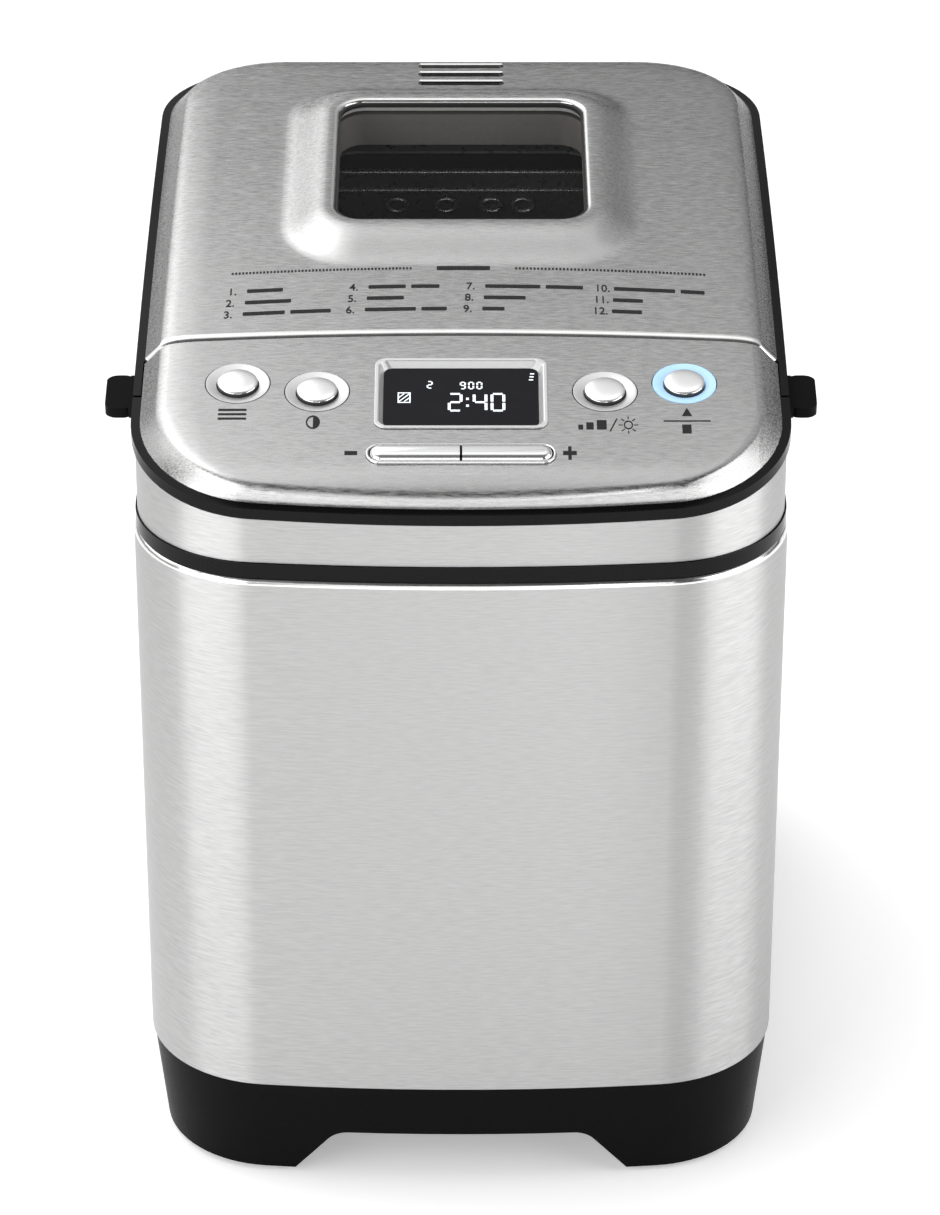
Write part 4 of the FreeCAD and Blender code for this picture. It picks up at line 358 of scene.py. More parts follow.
def prism(mesh, half_x, half_y, radius, low, high, place, segments=8):
    """A rounded rectangular prism standing at a place; radius equal to both halves makes a disc."""
    start = bmesh.ops.create_grid(mesh, x_segments=1, y_segments=1, size=1.0)["verts"]
    bmesh.ops.scale(mesh, verts=start, vec=(half_x, half_y, 1))
    rounded = bmesh.ops.bevel(mesh, geom=start, offset=radius * 0.9999, offset_type="OFFSET",
                              affect="VERTICES", segments=segments, profile=0.5, material=-1)
    base = list({face for vert in rounded["verts"] for face in vert.link_faces})
    top = bmesh.ops.extrude_face_region(mesh, geom=base)["geom"]
    raised = [part for part in top if isinstance(part, bmesh.types.BMVert)]
    lowered = list({vert for face in base for vert in face.verts})
    bmesh.ops.translate(mesh, verts=raised, vec=(0, 0, high))
    bmesh.ops.translate(mesh, verts=lowered, vec=(0, 0, low))
    bmesh.ops.transform(mesh, matrix=place, verts=raised + lowered)


def slice_mesh(mesh, point, across, **clear):
    """Cut a mesh along a plane through a point, and clear one side of it where asked."""
    bmesh.ops.bisect_plane(mesh, geom=mesh.verts[:] + mesh.edges[:] + mesh.faces[:], dist=fuzz,
                           plane_co=point, plane_no=across, **clear)


def pierce(item, cutter, thickness, edge):
    """Thicken a sheet inwards, cut the cutter's prisms through it and soften the cut edges."""
    bmesh.ops.recalc_face_normals(cutter, faces=cutter.faces)
    for face in cutter.faces:
        face.material_index = 1
    data = bpy.data.meshes.new("cutter")
    cutter.to_mesh(data)
    cutter.free()
    tool = bpy.data.objects.new("cutter", data)
    bpy.context.scene.collection.objects.link(tool)
    wall = item.modifiers.new("sheet", "SOLIDIFY")
    wall.thickness = thickness
    wall.offset = -1
    holes = item.modifiers.new("holes", "BOOLEAN")
    holes.operation = "DIFFERENCE"
    holes.solver = "EXACT"
    holes.object = tool
    done = bpy.data.meshes.new_from_object(item.evaluated_get(bpy.context.evaluated_depsgraph_get()))
    item.modifiers.clear()
    item.data = done
    bpy.data.objects.remove(tool)
    mesh = bmesh.new()
    mesh.from_mesh(done)
    smooth_faces(mesh)
    mesh.to_mesh(done)
    mesh.free()
    ease_edges(item, edge)
    item.modifiers["soft_edge"].material = 1
    even_normals(item)


top_steel = brushed("top_steel", (240, 1900, 1900), (0, 1, 0), 0.17, 0.28, 0.8)
panel = bmesh.new()
rings = [plan_loop(panel, *[value * mm for value in at_side + at_front])
         for at_side, at_front in zip(side_shoulder, front_shoulder)]
inside = rings[0]
for outer, inner in zip(rings[1:], rings):
    bmesh.ops.bridge_loops(panel, edges=outer + inner)
sides = [edge for edge in inside if edge.is_valid and min(abs(vert.co.x) for vert in edge.verts) > 0.01 * mm
         and edge.verts[0].co.x * edge.verts[1].co.x > 0]
bmesh.ops.bridge_loops(panel, edges=sides)
bmesh.ops.holes_fill(panel, edges=[edge for edge in panel.edges if edge.is_boundary], sides=3)
panel_cut = split_y - split_gap / 2 - panel_roll
slice_mesh(panel, (0, panel_cut, 0), (0, 1, 0), clear_outer=True)
roll_edge(panel, panel_cut, 1, panel_roll)
for step in range(-8, 9):
    slice_mesh(panel, (step * strip_width, 0, 0), (1, 0, 0))
for step in (1, 2, 3):
    slice_mesh(panel, (0, panel_cut - step * bow_zone / 3, 0), (0, 1, 0))
bow_split(panel, panel_cut, 1)
bmesh.ops.recalc_face_normals(panel, faces=panel.faces)
openings = bmesh.new()
for x, y in button_places:
    prism(openings, ring_hole, ring_hole, ring_hole, -through, through, seat(x, y), 16)
prism(openings, display_half[0] + bezel_margin, display_half[1] + bezel_margin, bezel_round,
      -through, through, seat(0, display_y))
prism(openings, pill_half[0] + pill_margin, pill_half[1] + pill_margin, pill_round, -through, through,
      seat(0, pill_y))
panel_piece = add_piece("control_panel_pressing", panel, "housing", top_steel, "stainless", "control_panel")
panel_piece.data.materials.append(polished_edge)
pierce(panel_piece, openings, sheet, 0.2 * mm)

# Panel carrier and display module. The black carrier under the panel holds the rings and the board's
# posts, and the liquid crystal module lies under the lens.
dress("panel_carrier", black_moulding, "black_moulding")
dress("lcd_module", black_moulding, "black_moulding")

# Rings and round caps. Dished metallised rings are pushed up through the carrier, the last one a lit
# light guide; satin caps travel in them and press on switches of the board.
silver_plastic = finish("silver_plastic", (0.68, 0.68, 0.685), 0.34, 0.7, grain=(2500, 2500, 2500),
                        tone=0.015, spread=0.03, relief=0.0004 * mm)
dress("button_rings", silver_plastic, "silver_plastic")
light_guide = finish("light_guide", (0.42, 0.66, 0.9), 0.35, grain=(300, 300, 300), tone=0.04)
glow = light_guide.node_tree.nodes["Principled BSDF"]
glow.inputs["Emission Color"].default_value = (0.45, 0.72, 1.0, 1)
glow.inputs["Emission Strength"].default_value = 0.3
dress("start_light_ring", light_guide, "light_guide")
cap_satin = finish("cap_satin", (0.93, 0.93, 0.93), 0.2, 0.85, grain=(2500, 2500, 2500), tone=0.01,
                   spread=0.02, relief=0.0003 * mm)
# The caps' low side wall takes a near-black copy of the cap metal: painted shade for the dark crescent of the
# gap round each cap.
cap_painted_shade = finish("cap_painted_shade", (0.05, 0.05, 0.052), 0.4, 0.6, grain=(2500, 2500, 2500), tone=0.1)
cap_profile = ((0, -9.5), (2.5, -9.5), (2.5, -5.7), (8.2, -5.7), (8.2, -4.5), (6.7, -4.5), (6.7, 0.3),
               (6.6, 0.65), (6.3, 0.95), (5.6, 1.2), (4.2, 1.38), (2.2, 1.47), (0, 1.5))
painted_shade_top = 0.7 * mm
for node, (x, y) in zip(("program_button", "crust_button", "loaf_button", "start_button"), button_places):
    cap = bmesh.new()
    points = [cap.verts.new((radius * mm, 0, height * mm)) for radius, height in cap_profile]
    edges = [cap.edges.new(pair) for pair in zip(points, points[1:])]
    bmesh.ops.spin(cap, geom=points + edges, cent=(0, 0, 0), axis=(0, 0, 1), angle=2 * math.pi, steps=64,
                   use_merge=True)
    bmesh.ops.remove_doubles(cap, verts=cap.verts, dist=weld)
    bmesh.ops.recalc_face_normals(cap, faces=cap.faces)
    smooth_faces(cap)
    # Faces of the low side wall take the dark painted shade; the dome keeps the satin.
    for face in cap.faces:
        face.material_index = int(all(vert.co.z < painted_shade_top for vert in face.verts))
    bmesh.ops.transform(cap, matrix=seat(x, y), verts=cap.verts)
    cap_piece = add_piece(f"{node}_cap", cap, body_of[node], cap_satin, "silver_plastic", node)
    cap_piece.data.materials.append(cap_painted_shade)

# Pill keys. Two chromed halves of one long key lie end to end in a chromed bezel, clipped into the
# carrier; each presses its own switch to lower or raise the setting.
chrome = finish("chrome", (0.86, 0.86, 0.865), 0.16, 0.9, grain=(2500, 2500, 2500), tone=0.01, spread=0.01,
                relief=0.0002 * mm)
dress("pill_bezel", chrome, "silver_plastic", edge=0.3 * mm)
key_crest, key_root, key_corner, key_round, key_gap = 2 * mm, 6 * mm, 3.75 * mm, 2.3 * mm, 0.8 * mm
for node, side in (("minus_button", -1), ("plus_button", 1)):
    key = bmesh.new()
    prism(key, *pill_half, key_corner, -key_root, key_crest, Matrix.Identity(4), 10)
    rim = [edge for edge in key.edges if all(vert.co.z > 0 for vert in edge.verts)]
    bmesh.ops.bevel(key, geom=rim, offset=key_round, offset_type="OFFSET", affect="EDGES", segments=8,
                    profile=0.5, material=-1)
    slice_mesh(key, (side * key_gap / 2, 0, 0), (side, 0, 0), clear_inner=True)
    bmesh.ops.holes_fill(key, edges=[edge for edge in key.edges if edge.is_boundary])
    bmesh.ops.recalc_face_normals(key, faces=key.faces)
    bmesh.ops.transform(key, matrix=seat(0, pill_y), verts=key.verts)
    smooth_faces(key)
    add_piece(f"{node}_key", key, body_of[node], chrome, "silver_plastic", node)

# Display. A metallised frame stands proud of the panel round a polished smoked lens; the digits under
# the lens are lit segments.
dress("display_bezel", silver_plastic, "silver_plastic", edge=0.3 * mm)
dark_lens = finish("dark_lens", (0.006, 0.006, 0.008), 0.08, grain=(200, 200, 200), tone=0.1, spread=0.02,
                   relief=0.0, specular=0.15)
dress("display_lens", dark_lens, "dark_lens")
lit_segment = finish("lit_segment", (0.85, 0.9, 0.93), 0.4, grain=(900, 900, 900), tone=0.03)
lit = lit_segment.node_tree.nodes["Principled BSDF"]
lit.inputs["Emission Color"].default_value = (0.85, 0.95, 1.0, 1)
lit.inputs["Emission Strength"].default_value = 0.5
strokes = {"a": (0, 1, 1), "b": (1, 0.5, 0), "c": (1, -0.5, 0), "d": (0, -1, 1), "e": (-1, -0.5, 0),
           "f": (-1, 0.5, 0), "g": (0, 0, 1)}
lit_strokes = {"0": "abcdef", "2": "abged", "4": "fgbc", "9": "abcdfg"}


def tile(mesh, x, y, half_x, half_y, radius=0.0, turn=0.0):
    """A flat rectangle lying at x, y, its corners rounded where a radius is given; sizes in millimetres."""
    verts = bmesh.ops.create_grid(mesh, x_segments=1, y_segments=1, size=1.0)["verts"]
    bmesh.ops.scale(mesh, verts=verts, vec=(half_x * mm, half_y * mm, 1))
    if radius:
        verts = bmesh.ops.bevel(mesh, geom=verts, offset=radius * mm, offset_type="OFFSET", affect="VERTICES",
                                segments=3, profile=0.5, material=-1)["verts"]
    bmesh.ops.transform(mesh, matrix=Matrix.Translation((x * mm, y * mm, 0)) @ Matrix.Rotation(turn, 4, "Z"),
                        verts=verts)


def digit(mesh, figure, x, y, width, height, stroke):
    """A figure of seven straight strokes about x, y."""
    reach_x, reach_y = (width - stroke) / 2, (height - stroke) / 2
    for letter in lit_strokes[figure]:
        side, rise, level = strokes[letter]
        half = ((reach_x - 0.35 * stroke, stroke / 2) if level else (stroke / 2, reach_y / 2 - 0.35 * stroke))
        tile(mesh, x + side * reach_x, y + rise * reach_y, *half, 0.2 * stroke)


readout = bmesh.new()
for figure, x in (("2", -1.9), ("4", 6.2), ("0", 12)):
    digit(readout, figure, x, -2.4, 4.8, 9.7, 0.95)
for y in (-0.6, -4.2):
    tile(readout, 2.1, y, 0.45, 0.6)
digit(readout, "2", -10.2, 6.8, 2, 4, 0.55)
for figure, x in (("9", 0.6), ("0", 3.3), ("0", 6)):
    digit(readout, figure, x, 6.4, 2, 4, 0.55)
hatched_box = ((-18.5, 2.5, 2.1, 0.25, 0), (-18.5, -2.5, 2.1, 0.25, 0), (-20.4, 0, 0.22, 2.6, 0),
               (-16.6, 0, 0.22, 2.6, 0), (-18.5, 0, 0.22, 2.9, -0.7), (-19.5, 0.9, 0.22, 1.5, -0.7),
               (-17.5, -0.9, 0.22, 1.5, -0.7))
for x, y, half_x, half_y, turn in hatched_box:
    tile(readout, x, y, half_x, half_y, 0, turn)
for x, y in ((23.3, 12.6), (23.1, 11), (22.9, 9.4)):
    tile(readout, x, y, 0.7, 0.32)
segment_depth = 1.67 * mm
bmesh.ops.transform(readout, matrix=seat(0, display_y) @ Matrix.Translation((0, 0, -segment_depth)),
                    verts=readout.verts)
add_piece("display_segments", readout, "housing", lit_segment, "light_guide")

# Panel printing. Dark ink screened on the steel: a plain sign under each button, and minus and plus signs
# beside the pill.
ink = finish("ink", (0.012, 0.012, 0.013), 0.5, grain=(2000, 2000, 2000), tone=0.3, specular=0.2)
ink_lift = 0.08 * mm
ink_stretch = 1.45


def disc(mesh, x, y, radius, segments=32, hollow=0.0):
    """A flat disc or ring lying at x, y, drawn out along y like the rest of the print."""
    loops = []
    for size in (radius, hollow) if hollow else (radius,):
        circle = bmesh.ops.create_circle(mesh, segments=segments, radius=size * mm, cap_ends=not hollow)
        loops.append(circle["verts"])
    if hollow:
        bmesh.ops.bridge_loops(mesh, edges=list({edge for loop in loops for vert in loop
                                                 for edge in vert.link_edges}))
    verts = [vert for loop in loops for vert in loop]
    bmesh.ops.scale(mesh, verts=verts, vec=(1, ink_stretch, 1))
    bmesh.ops.translate(mesh, verts=verts, vec=(x * mm, y * mm, 0))
    return verts


def lay_ink(mesh, bow=0.0, width=1.0):
    """Drop flat print onto the crown, bent down towards its ends by bow at a width from the middle."""
    for vert in mesh.verts:
        vert.co.y -= bow * (vert.co.x / width)**2
        vert.co.z = crown(vert.co.y) + ink_lift


signs = bmesh.new()
for y in (-102.6, -104.8, -107):
    tile(signs, -74, y, 4.6, 0.5, 0.2)
shade_x, shade_y, shade_radius = -47.8, -108.8, 1.8
disc(signs, shade_x, shade_y, 2.3, hollow=shade_radius)
half_disc = disc(signs, shade_x, shade_y, shade_radius)
disc_parts = {part for vert in half_disc for part in (*vert.link_edges, *vert.link_faces)
              if all(corner in half_disc for corner in part.verts)}
bmesh.ops.bisect_plane(signs, geom=half_disc + list(disc_parts), dist=fuzz, plane_co=(shade_x * mm, 0, 0),
                       plane_no=(1, 0, 0), clear_inner=True)
for x, half in ((38.6, 0.8), (41.6, 1.2), (45.4, 1.6)):
    tile(signs, x, -112.4 + half * ink_stretch, half, half * ink_stretch, 0.2)
tile(signs, 49.2, -110.2, 0.22, 3.4, 0, -0.35)
sun_x, sun_y, sun_rays, ray_reach = 54, -110.2, 8, 2.5
disc(signs, sun_x, sun_y, 1.5, hollow=1.1)
for ray in range(sun_rays):
    turn = 2 * math.pi * ray / sun_rays
    tile(signs, sun_x + ray_reach * math.sin(turn), sun_y + ray_reach * ink_stretch * math.cos(turn),
         0.18, 0.7, 0, -turn)
disc(signs, 73.1, -104.3, 1.9, 3)
tile(signs, 73, -108.2, 7.6, 0.3)
tile(signs, 72.8, -112.2, 1.5, 1.5 * ink_stretch)
tile(signs, -35.3, -124, 2.05, 0.95)
tile(signs, 34.9, -124, 2.2, 0.95)
tile(signs, 34.9, -124, 0.55, 3.2)
lay_ink(signs)
bmesh.ops.recalc_face_normals(signs, faces=signs.faces)
add_piece("panel_print", signs, "housing", ink, "black_moulding")

# Lid frame. The black moulded ring under the lid's edge, with the lifting tabs at its sides and the
# hinge knuckles at its back. Steel pins in the upper frame's lugs carry it, and the vent's black insert
# lies under the slots.
dress("vent_insert", gloss_black, "black_moulding", edge=0.5 * mm)
tab_front, tab_share, tab_slope, tab_drop, trim_drop = -85.6 * mm, 0.76, 0.19, 11.5 * mm, 7.3 * mm
tabs = node_mesh("lid_tabs")
for vert in tabs.verts:
    shift = (tab_share - 1) * (vert.co.y - tab_front)
    vert.co.y += shift
    vert.co.z = min(vert.co.z + shift * tab_slope, crown(vert.co.y) - tab_drop)
smooth_faces(tabs)
tab_piece = add_piece("lid_tab_grips", tabs, "lid", black_moulding, "black_moulding", "lid_tabs")
ease_edges(tab_piece, 0.5 * mm)
ring_bar = node_mesh("lid_frame")
for step in range(-8, 9):
    slice_mesh(ring_bar, (step * strip_width, 0, 0), (1, 0, 0))
bow_split(ring_bar, split_y, -1)
for point in (split_y, split_y - split_gap):
    slice_mesh(ring_bar, (0, point, 0), (0, 1, 0))
for vert in ring_bar.verts:
    if vert.co.y < split_y - 0.8 * split_gap:
        vert.co.z = min(vert.co.z, crown(vert.co.y) - trim_drop)
smooth_faces(ring_bar)
add_piece("lid_frame_ring", ring_bar, "lid", gloss_black, "black_moulding", "lid_frame")
dress("hinge_pins", bright_steel, "bright_steel")

# Lid cover. The stainless pressing over the lid, brushed from side to side: a crowned sheet drawn up
# into a soft boss round the window, with a soft shoulder, a rolled front edge and three vent slots, each
# with a bright lip along its rear edge.
boss_y = 42.5 * mm
boss_tilt = math.asin((crown_apex - boss_y) / crown_radius)
boss_rise = 4.7 * mm
foot_half, foot_round = (62 * mm, 65.5 * mm), 26 * mm
top_half, top_round = 46.4 * mm, 12 * mm
window_half, window_round = 43 * mm, 9 * mm
front_reach = 40 * mm
spokes = 224


def reach(direction, half_x, half_y, radius):
    """Distance from the middle of a rounded rectangle to its edge along a direction."""
    run_x, run_y = abs(direction[0]), abs(direction[1])
    centre_x, centre_y = half_x - radius, half_y - radius
    if run_x * centre_y > half_x * run_y - 1e-12 and half_x * run_y <= centre_y * run_x:
        return half_x / run_x
    if half_y * run_x <= centre_x * run_y:
        return half_y / run_y
    along = run_x * centre_x + run_y * centre_y
    return along + math.sqrt(along**2 - centre_x**2 - centre_y**2 + radius**2)


def lid_edge(direction, inset):
    """Distance from the boss's middle to the plan form at an inset, run on past the split at the front."""
    if direction[1] < 0:
        return reach(direction, half_width - inset, boss_y - split_y + front_reach, 0)
    return reach(direction, half_width - inset, half_depth - boss_y - inset, corner_radius - inset)


def boss_edge(direction, share):
    """Distance to the boss's flank, from its foot at share 0 to the edge of its top at share 1."""
    mixed = [foot + (top_half - foot) * share for foot in foot_half]
    return reach(direction, *mixed, foot_round + (top_round - foot_round) * share)


def boss_height(y, share):
    """Height on the boss's flank, which leaves the crown softly and turns over into a flat top."""
    top = crown(boss_y) + (y - boss_y) * math.tan(boss_tilt) + boss_rise / math.cos(boss_tilt)
    blend = share * share * (3 - 2 * share)
    return crown(y) + (top - crown(y)) * blend


def next_ring(mesh, edges, distance, height):
    """Extrude a ring of edges and set its points out along their spokes."""
    grown = bmesh.ops.extrude_edge_only(mesh, edges=edges)["geom"]
    verts = [part for part in grown if isinstance(part, bmesh.types.BMVert)]
    place_ring(verts, distance, height)
    return [part for part in grown if isinstance(part, bmesh.types.BMEdge)
            and all(vert in verts for vert in part.verts)]


def place_ring(verts, distance, height):
    """Set points out along their spokes to a distance and a height."""
    for vert in verts:
        direction = Vector((vert.co.x, vert.co.y - boss_y)).normalized()
        spot = direction * distance(direction)
        vert.co = (spot.x, boss_y + spot.y, height(boss_y + spot.y))


lid = bmesh.new()
hub = bmesh.ops.create_circle(lid, segments=spokes, radius=10 * mm,
                              matrix=Matrix.Translation((0, boss_y, 0)))["verts"]
lip = ((0, 4.2), (0, 1.6), (0.25, 0.75), (0.8, 0.25), (1.6, 0.05))
ring = list({edge for vert in hub for edge in vert.link_edges})
place_ring(hub, lambda d: reach(d, window_half, window_half, window_round),
           lambda y: boss_height(y, 1) - lip[0][1] * mm)
wall_faces = []
for grow, sink in lip[1:]:
    ring = next_ring(lid, ring, lambda d: reach(d, window_half + grow * mm, window_half + grow * mm,
                                                window_round + grow * mm),
                     lambda y: boss_height(y, 1) - sink * mm)
    wall_faces = wall_faces or lid.faces[:]
lip_faces = lid.faces[:]
flank = 12
for step in range(flank + 1):
    share = 1 - step / flank
    ring = next_ring(lid, ring, lambda d: boss_edge(d, share), lambda y: boss_height(y, share))
fields = 12
for step in range(1, fields):
    share = step / fields
    ring = next_ring(lid, ring, lambda d: boss_edge(d, 0) + share * (
        lid_edge(d, side_shoulder[0][0] * mm) - boss_edge(d, 0)), crown)
for inset, drop in side_shoulder:
    ring = next_ring(lid, ring, lambda d: lid_edge(d, inset * mm), lambda y: crown(y) - drop * mm)
# The window lip's inner wall takes the lighter satin, a painted reflection; the rest of the lip takes the
# polished edge.
for face in lip_faces:
    face.material_index = 2 if face in wall_faces else 1
lid_cut = split_y + split_gap / 2 + lid_roll
slice_mesh(lid, (0, lid_cut, 0), (0, -1, 0), clear_outer=True)
roll_edge(lid, lid_cut, -1, lid_roll)
bow_split(lid, lid_cut, -1)
bmesh.ops.recalc_face_normals(lid, faces=lid.faces)
slots = bmesh.new()
vent_lips = bmesh.new()
slot_length, slot_half, slot_reach = 15.5 * mm, 1.9 * mm, 6 * mm
lip_half, lip_sheet, lip_back, lip_rise = 0.45 * mm, 0.25 * mm, 2.05 * mm, 0.11 * mm
lip_tilt = math.radians(22)
for slot_y, shoulder_fall in ((127.8 * mm, 0.24 * mm), (120 * mm, 0), (112.2 * mm, 0)):
    prism(slots, slot_length, slot_half, slot_half, -slot_reach, slot_reach,
          Matrix.Translation((0, slot_y, crown(slot_y))))
    lip_height = crown(slot_y + lip_back) - shoulder_fall + lip_rise
    prism(vent_lips, slot_length - lip_half, lip_half, lip_half, -lip_sheet, 0,
          Matrix.Translation((0, slot_y + lip_back, lip_height)) @ Matrix.Rotation(lip_tilt, 4, "X"))
lid_piece = add_piece("lid_cover_pressing", lid, "lid", top_steel, "stainless", "lid_cover")
# A rougher satin for the window lip's inner wall, its colour lightened as a painted reflection of the grey
# band that wall shows.
lip_wall_painted_reflection = finish("lip_wall_painted_reflection", (0.62, 0.62, 0.615), 0.5, 0.35, grain=(900, 900, 900), tone=0.06)
for part in (polished_edge, lip_wall_painted_reflection):
    lid_piece.data.materials.append(part)
pierce(lid_piece, slots, sheet, 0.6 * mm)
smooth_faces(vent_lips)
add_piece("vent_lips", vent_lips, "lid", polished_edge, "stainless")

# Lid printing. Dark ink screened on the lid in front of the boss: two dotted rules over a list of twelve
# numbered lines, each a plain bar.
legend_bow, legend_half = 3.8 * mm, 78 * mm
legend = bmesh.new()
for start, end in ((-76.8, -17), (18.6, 81.8)):
    dots = 52
    for step in range(dots):
        tile(legend, start + (end - start) * step / (dots - 1), -23.4, 0.36, 0.6)
tile(legend, 0.8, -23.4, 9, 1.2, 0.4)
columns = ((-78, ((12,), (15.4,), (14, 13.5))), (-37.4, ((12.5, 9.5), (12.4,), (17, 8.5))),
           (1.7, ((18.5, 12.5), (14,), (7.4,))), (44.8, ((20.5, 8), (10,), (10,))))
rows = (-34.3, -41, -47.6)
for column, (start, lines) in enumerate(columns):
    for row, (y, bars) in enumerate(zip(rows, lines)):
        letters = bpy.data.curves.new("entry", "FONT")
        letters.body = f"{3 * column + row + 1}."
        letters.size = 5.4 * mm
        letters.offset = 0.06 * mm
        holder = bpy.data.objects.new("entry", letters)
        bpy.context.scene.collection.objects.link(holder)
        shape = bpy.data.meshes.new_from_object(holder.evaluated_get(bpy.context.evaluated_depsgraph_get()))
        bpy.data.objects.remove(holder)
        shape.transform(Matrix.Translation(((start - row * 0.5) * mm, (y - 1.9) * mm, 0))
                        @ Matrix.Diagonal((0.78, 1.05, 1, 1)))
        legend.from_mesh(shape)
        x = start - row * 0.5 + 6.4
        for bar in bars:
            tile(legend, x + bar / 2, y, bar / 2, 1.0, 0.4)
            x += bar + 1.8
lay_ink(legend, legend_bow, legend_half)
bmesh.ops.recalc_face_normals(legend, faces=legend.faces)
add_piece("lid_print", legend, "lid", ink, "black_moulding")

# Window. Tempered glass with a faint grey cast lies in a silicone gasket under the boss, clamped from
# below by a pressed steel frame.
window_glass = finish("window_glass", (0.02, 0.021, 0.021), 0.03, grain=(60, 60, 60), tone=0.05, spread=0.01,
                      relief=0.0)
pane = window_glass.node_tree.nodes["Principled BSDF"]
pane.inputs["Alpha"].default_value = 0.1
dress("window_glass", window_glass, "window_glass")
dress("window_gasket", rubber, "rubber")
frame_satin = finish("frame_satin", (0.34, 0.32, 0.3), 0.5, 0.35, grain=(900, 900, 900), tone=0.06)
dress("window_frame", frame_satin, "bright_steel")

# Lid liner. A dished steel pressing with the chamber's dark coat closes the lid from below; six screws
# hold it to the lid frame.
dress("lid_liner", chamber_coat, "chamber_coat")
dress("lid_screws", bright_steel, "bright_steel")

# Bread pan. Drawn aluminium with a dark non-stick coat, a die-cast collar under it with three bayonet
# lugs, and riveted ears at its ends for the handle.
non_stick = finish("non_stick", (0.045, 0.044, 0.043), 0.38, 0.5, grain=(1400, 1400, 1400), tone=0.25,
                   relief=0.01 * mm)
dress("bread_pan", non_stick, "non_stick")
dress("pan_collar", die_cast, "die_cast")
dress("pan_bush", bearing_bronze, "bearing_bronze")
dress("shaft_seal", rubber, "rubber")
for node in ("handle_ears", "ear_rivets", "pan_handle", "paddle_shaft"):
    dress(node, bright_steel, "bright_steel")
dress("drive_wing", die_cast, "die_cast")
dress("kneading_paddle", non_stick, "non_stick")

# Stage. A wide white floor under soft studio light: six soft boxes and a sky that darkens low in front
# of the machine, so that the steel shows bright and dark bands. The camera looks down from the front.
floor_reach, paper_level = 40.0, 0.33
floor_mesh = bmesh.new()
bmesh.ops.create_grid(floor_mesh, x_segments=2, y_segments=2, size=floor_reach)
floor_data = bpy.data.meshes.new("floor")
floor_mesh.to_mesh(floor_data)
floor_mesh.free()
floor = bpy.data.objects.new("floor", floor_data)
bpy.context.scene.collection.objects.link(floor)
paper = finish("white_paper", (0.92, 0.92, 0.92), 0.9, grain=(300, 300, 300), tone=0.01, specular=0.0)
tree = paper.node_tree
paper_shader = tree.nodes["Principled BSDF"]
paper_glow = tree.nodes.new("ShaderNodeEmission")
ray = tree.nodes.new("ShaderNodeLightPath")
seen = [tree.nodes.new("ShaderNodeMath") for step in range(3)]
for step, operation in zip(seen, ("MAXIMUM", "MAXIMUM", "MULTIPLY")):
    step.operation = operation
seen[2].inputs[1].default_value = paper_level
both = tree.nodes.new("ShaderNodeAddShader")
link(tree, (ray, "Is Camera Ray", seen[0], 0), (ray, "Is Glossy Ray", seen[0], 1),
     (seen[0], "Value", seen[1], 0), (ray, "Is Transmission Ray", seen[1], 1),
     (seen[1], "Value", seen[2], 0), (seen[2], "Value", paper_glow, "Strength"),
     (paper_shader, "BSDF", both, 0), (paper_glow, "Emission", both, 1),
     (both, "Shader", tree.nodes["Material Output"], "Surface"))
floor_data.materials.append(paper)

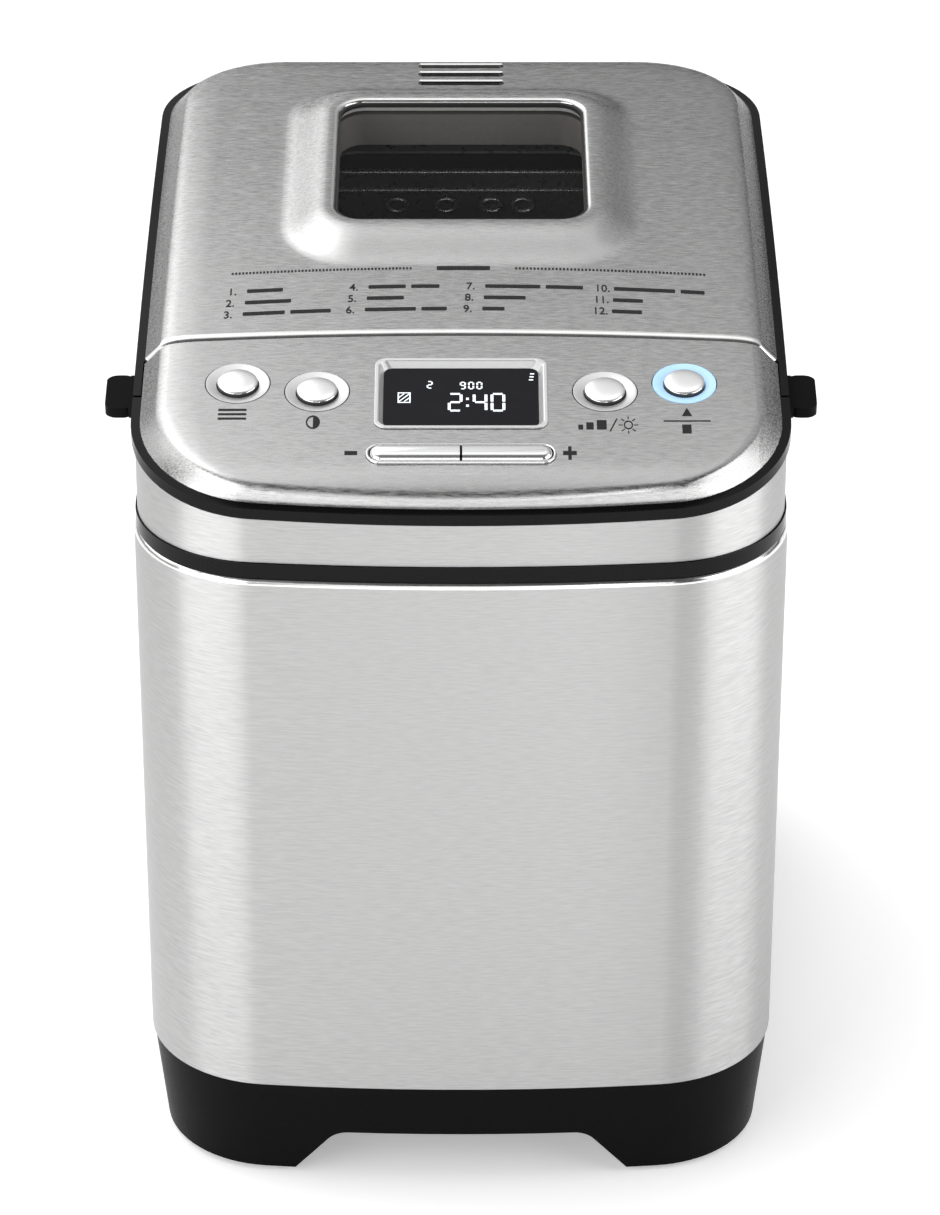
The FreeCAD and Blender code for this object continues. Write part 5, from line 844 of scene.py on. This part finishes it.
world = bpy.data.worlds.new("studio")
bpy.context.scene.world = world
world.use_nodes = True
sky = world.node_tree.nodes["Background"]
sky.inputs["Color"].default_value = (1, 1, 1, 1)
heading = world.node_tree.nodes.new("ShaderNodeTexCoord")
parts = world.node_tree.nodes.new("ShaderNodeSeparateXYZ")
link(world.node_tree, (heading, "Generated", parts, "Vector"))
sky_bands = (("Y", (-0.35, 0.15, 0.1, 1.0)), ("X", (-0.14, 0.02, 1.5, 0.9)), ("X", (-0.4, -0.12, 2.2, 1.0)),
             ("Z", (0.1, 0.42, 0.12, 1.0)), ("Z", (0.52, 0.88, 0.47, 0.95)))
level = None
for axis, limits in sky_bands:
    ramp = world.node_tree.nodes.new("ShaderNodeMapRange")
    ramp.interpolation_type = "SMOOTHSTEP"
    for entry, value in zip(("From Min", "From Max", "To Min", "To Max"), limits):
        ramp.inputs[entry].default_value = value
    product = world.node_tree.nodes.new("ShaderNodeMath")
    product.operation = "MULTIPLY"
    product.inputs[1].default_value = 1.0
    link(world.node_tree, (parts, axis, ramp, "Value"), (ramp, "Result", product, 0))
    if level:
        link(world.node_tree, (level, "Value", product, 1))
    level = product
link(world.node_tree, (level, "Value", sky, "Strength"))


def softbox(name, place, target, width, height, radiance):
    """A rectangular lamp of an even radiance at a place, turned to a target."""
    lamp = bpy.data.lights.new(name, "AREA")
    lamp.shape = "RECTANGLE"
    lamp.size = width
    lamp.size_y = height
    lamp.energy = radiance * math.pi * width * height
    item = bpy.data.objects.new(name, lamp)
    bpy.context.scene.collection.objects.link(item)
    item.location = place
    item.rotation_euler = (Vector(target) - Vector(place)).to_track_quat("-Z", "Y").to_euler()
    item.visible_camera = False


body_middle, lid_middle = (0, 0, 0.15), (0, 0.05, 0.29)
softbox("top_box", (0, 0.15, 1.6), lid_middle, 1.2, 1.0, 0.4)
softbox("back_left_box", (-0.485, 1.37, 1.7), (-0.085, -0.03, 0.296), 0.6, 0.8, 0.55)
softbox("left_box", (-0.75, -0.75, 0.45), body_middle, 1.0, 0.9, 2.3)
softbox("right_box", (0.95, -0.4, 0.45), body_middle, 1.0, 0.9, 2.3)
softbox("front_box", (-0.05, -1.7, 0.5), body_middle, 0.6, 1.2, 1.2)
softbox("front_strip", (0.31, -1.7, 0.5), body_middle, 0.1, 1.2, 4.5)

camera_lens = bpy.data.cameras.new("shop_camera")
camera_lens.sensor_fit = "AUTO"
camera_lens.sensor_width = 36
picture_height, picture_focus, picture_offset, camera_tilt = 1215, 4690, 9, 28.8
camera_lens.lens = picture_focus * camera_lens.sensor_width / picture_height
camera_lens.shift_x = picture_offset / picture_height
camera = bpy.data.objects.new("shop_camera", camera_lens)
bpy.context.scene.collection.objects.link(camera)
camera.location = (0, -1.464, 0.952)
camera.rotation_euler = (math.radians(90 - camera_tilt), 0, 0)
bpy.context.scene.camera = camera
bpy.context.scene.view_settings.view_transform = "Standard"
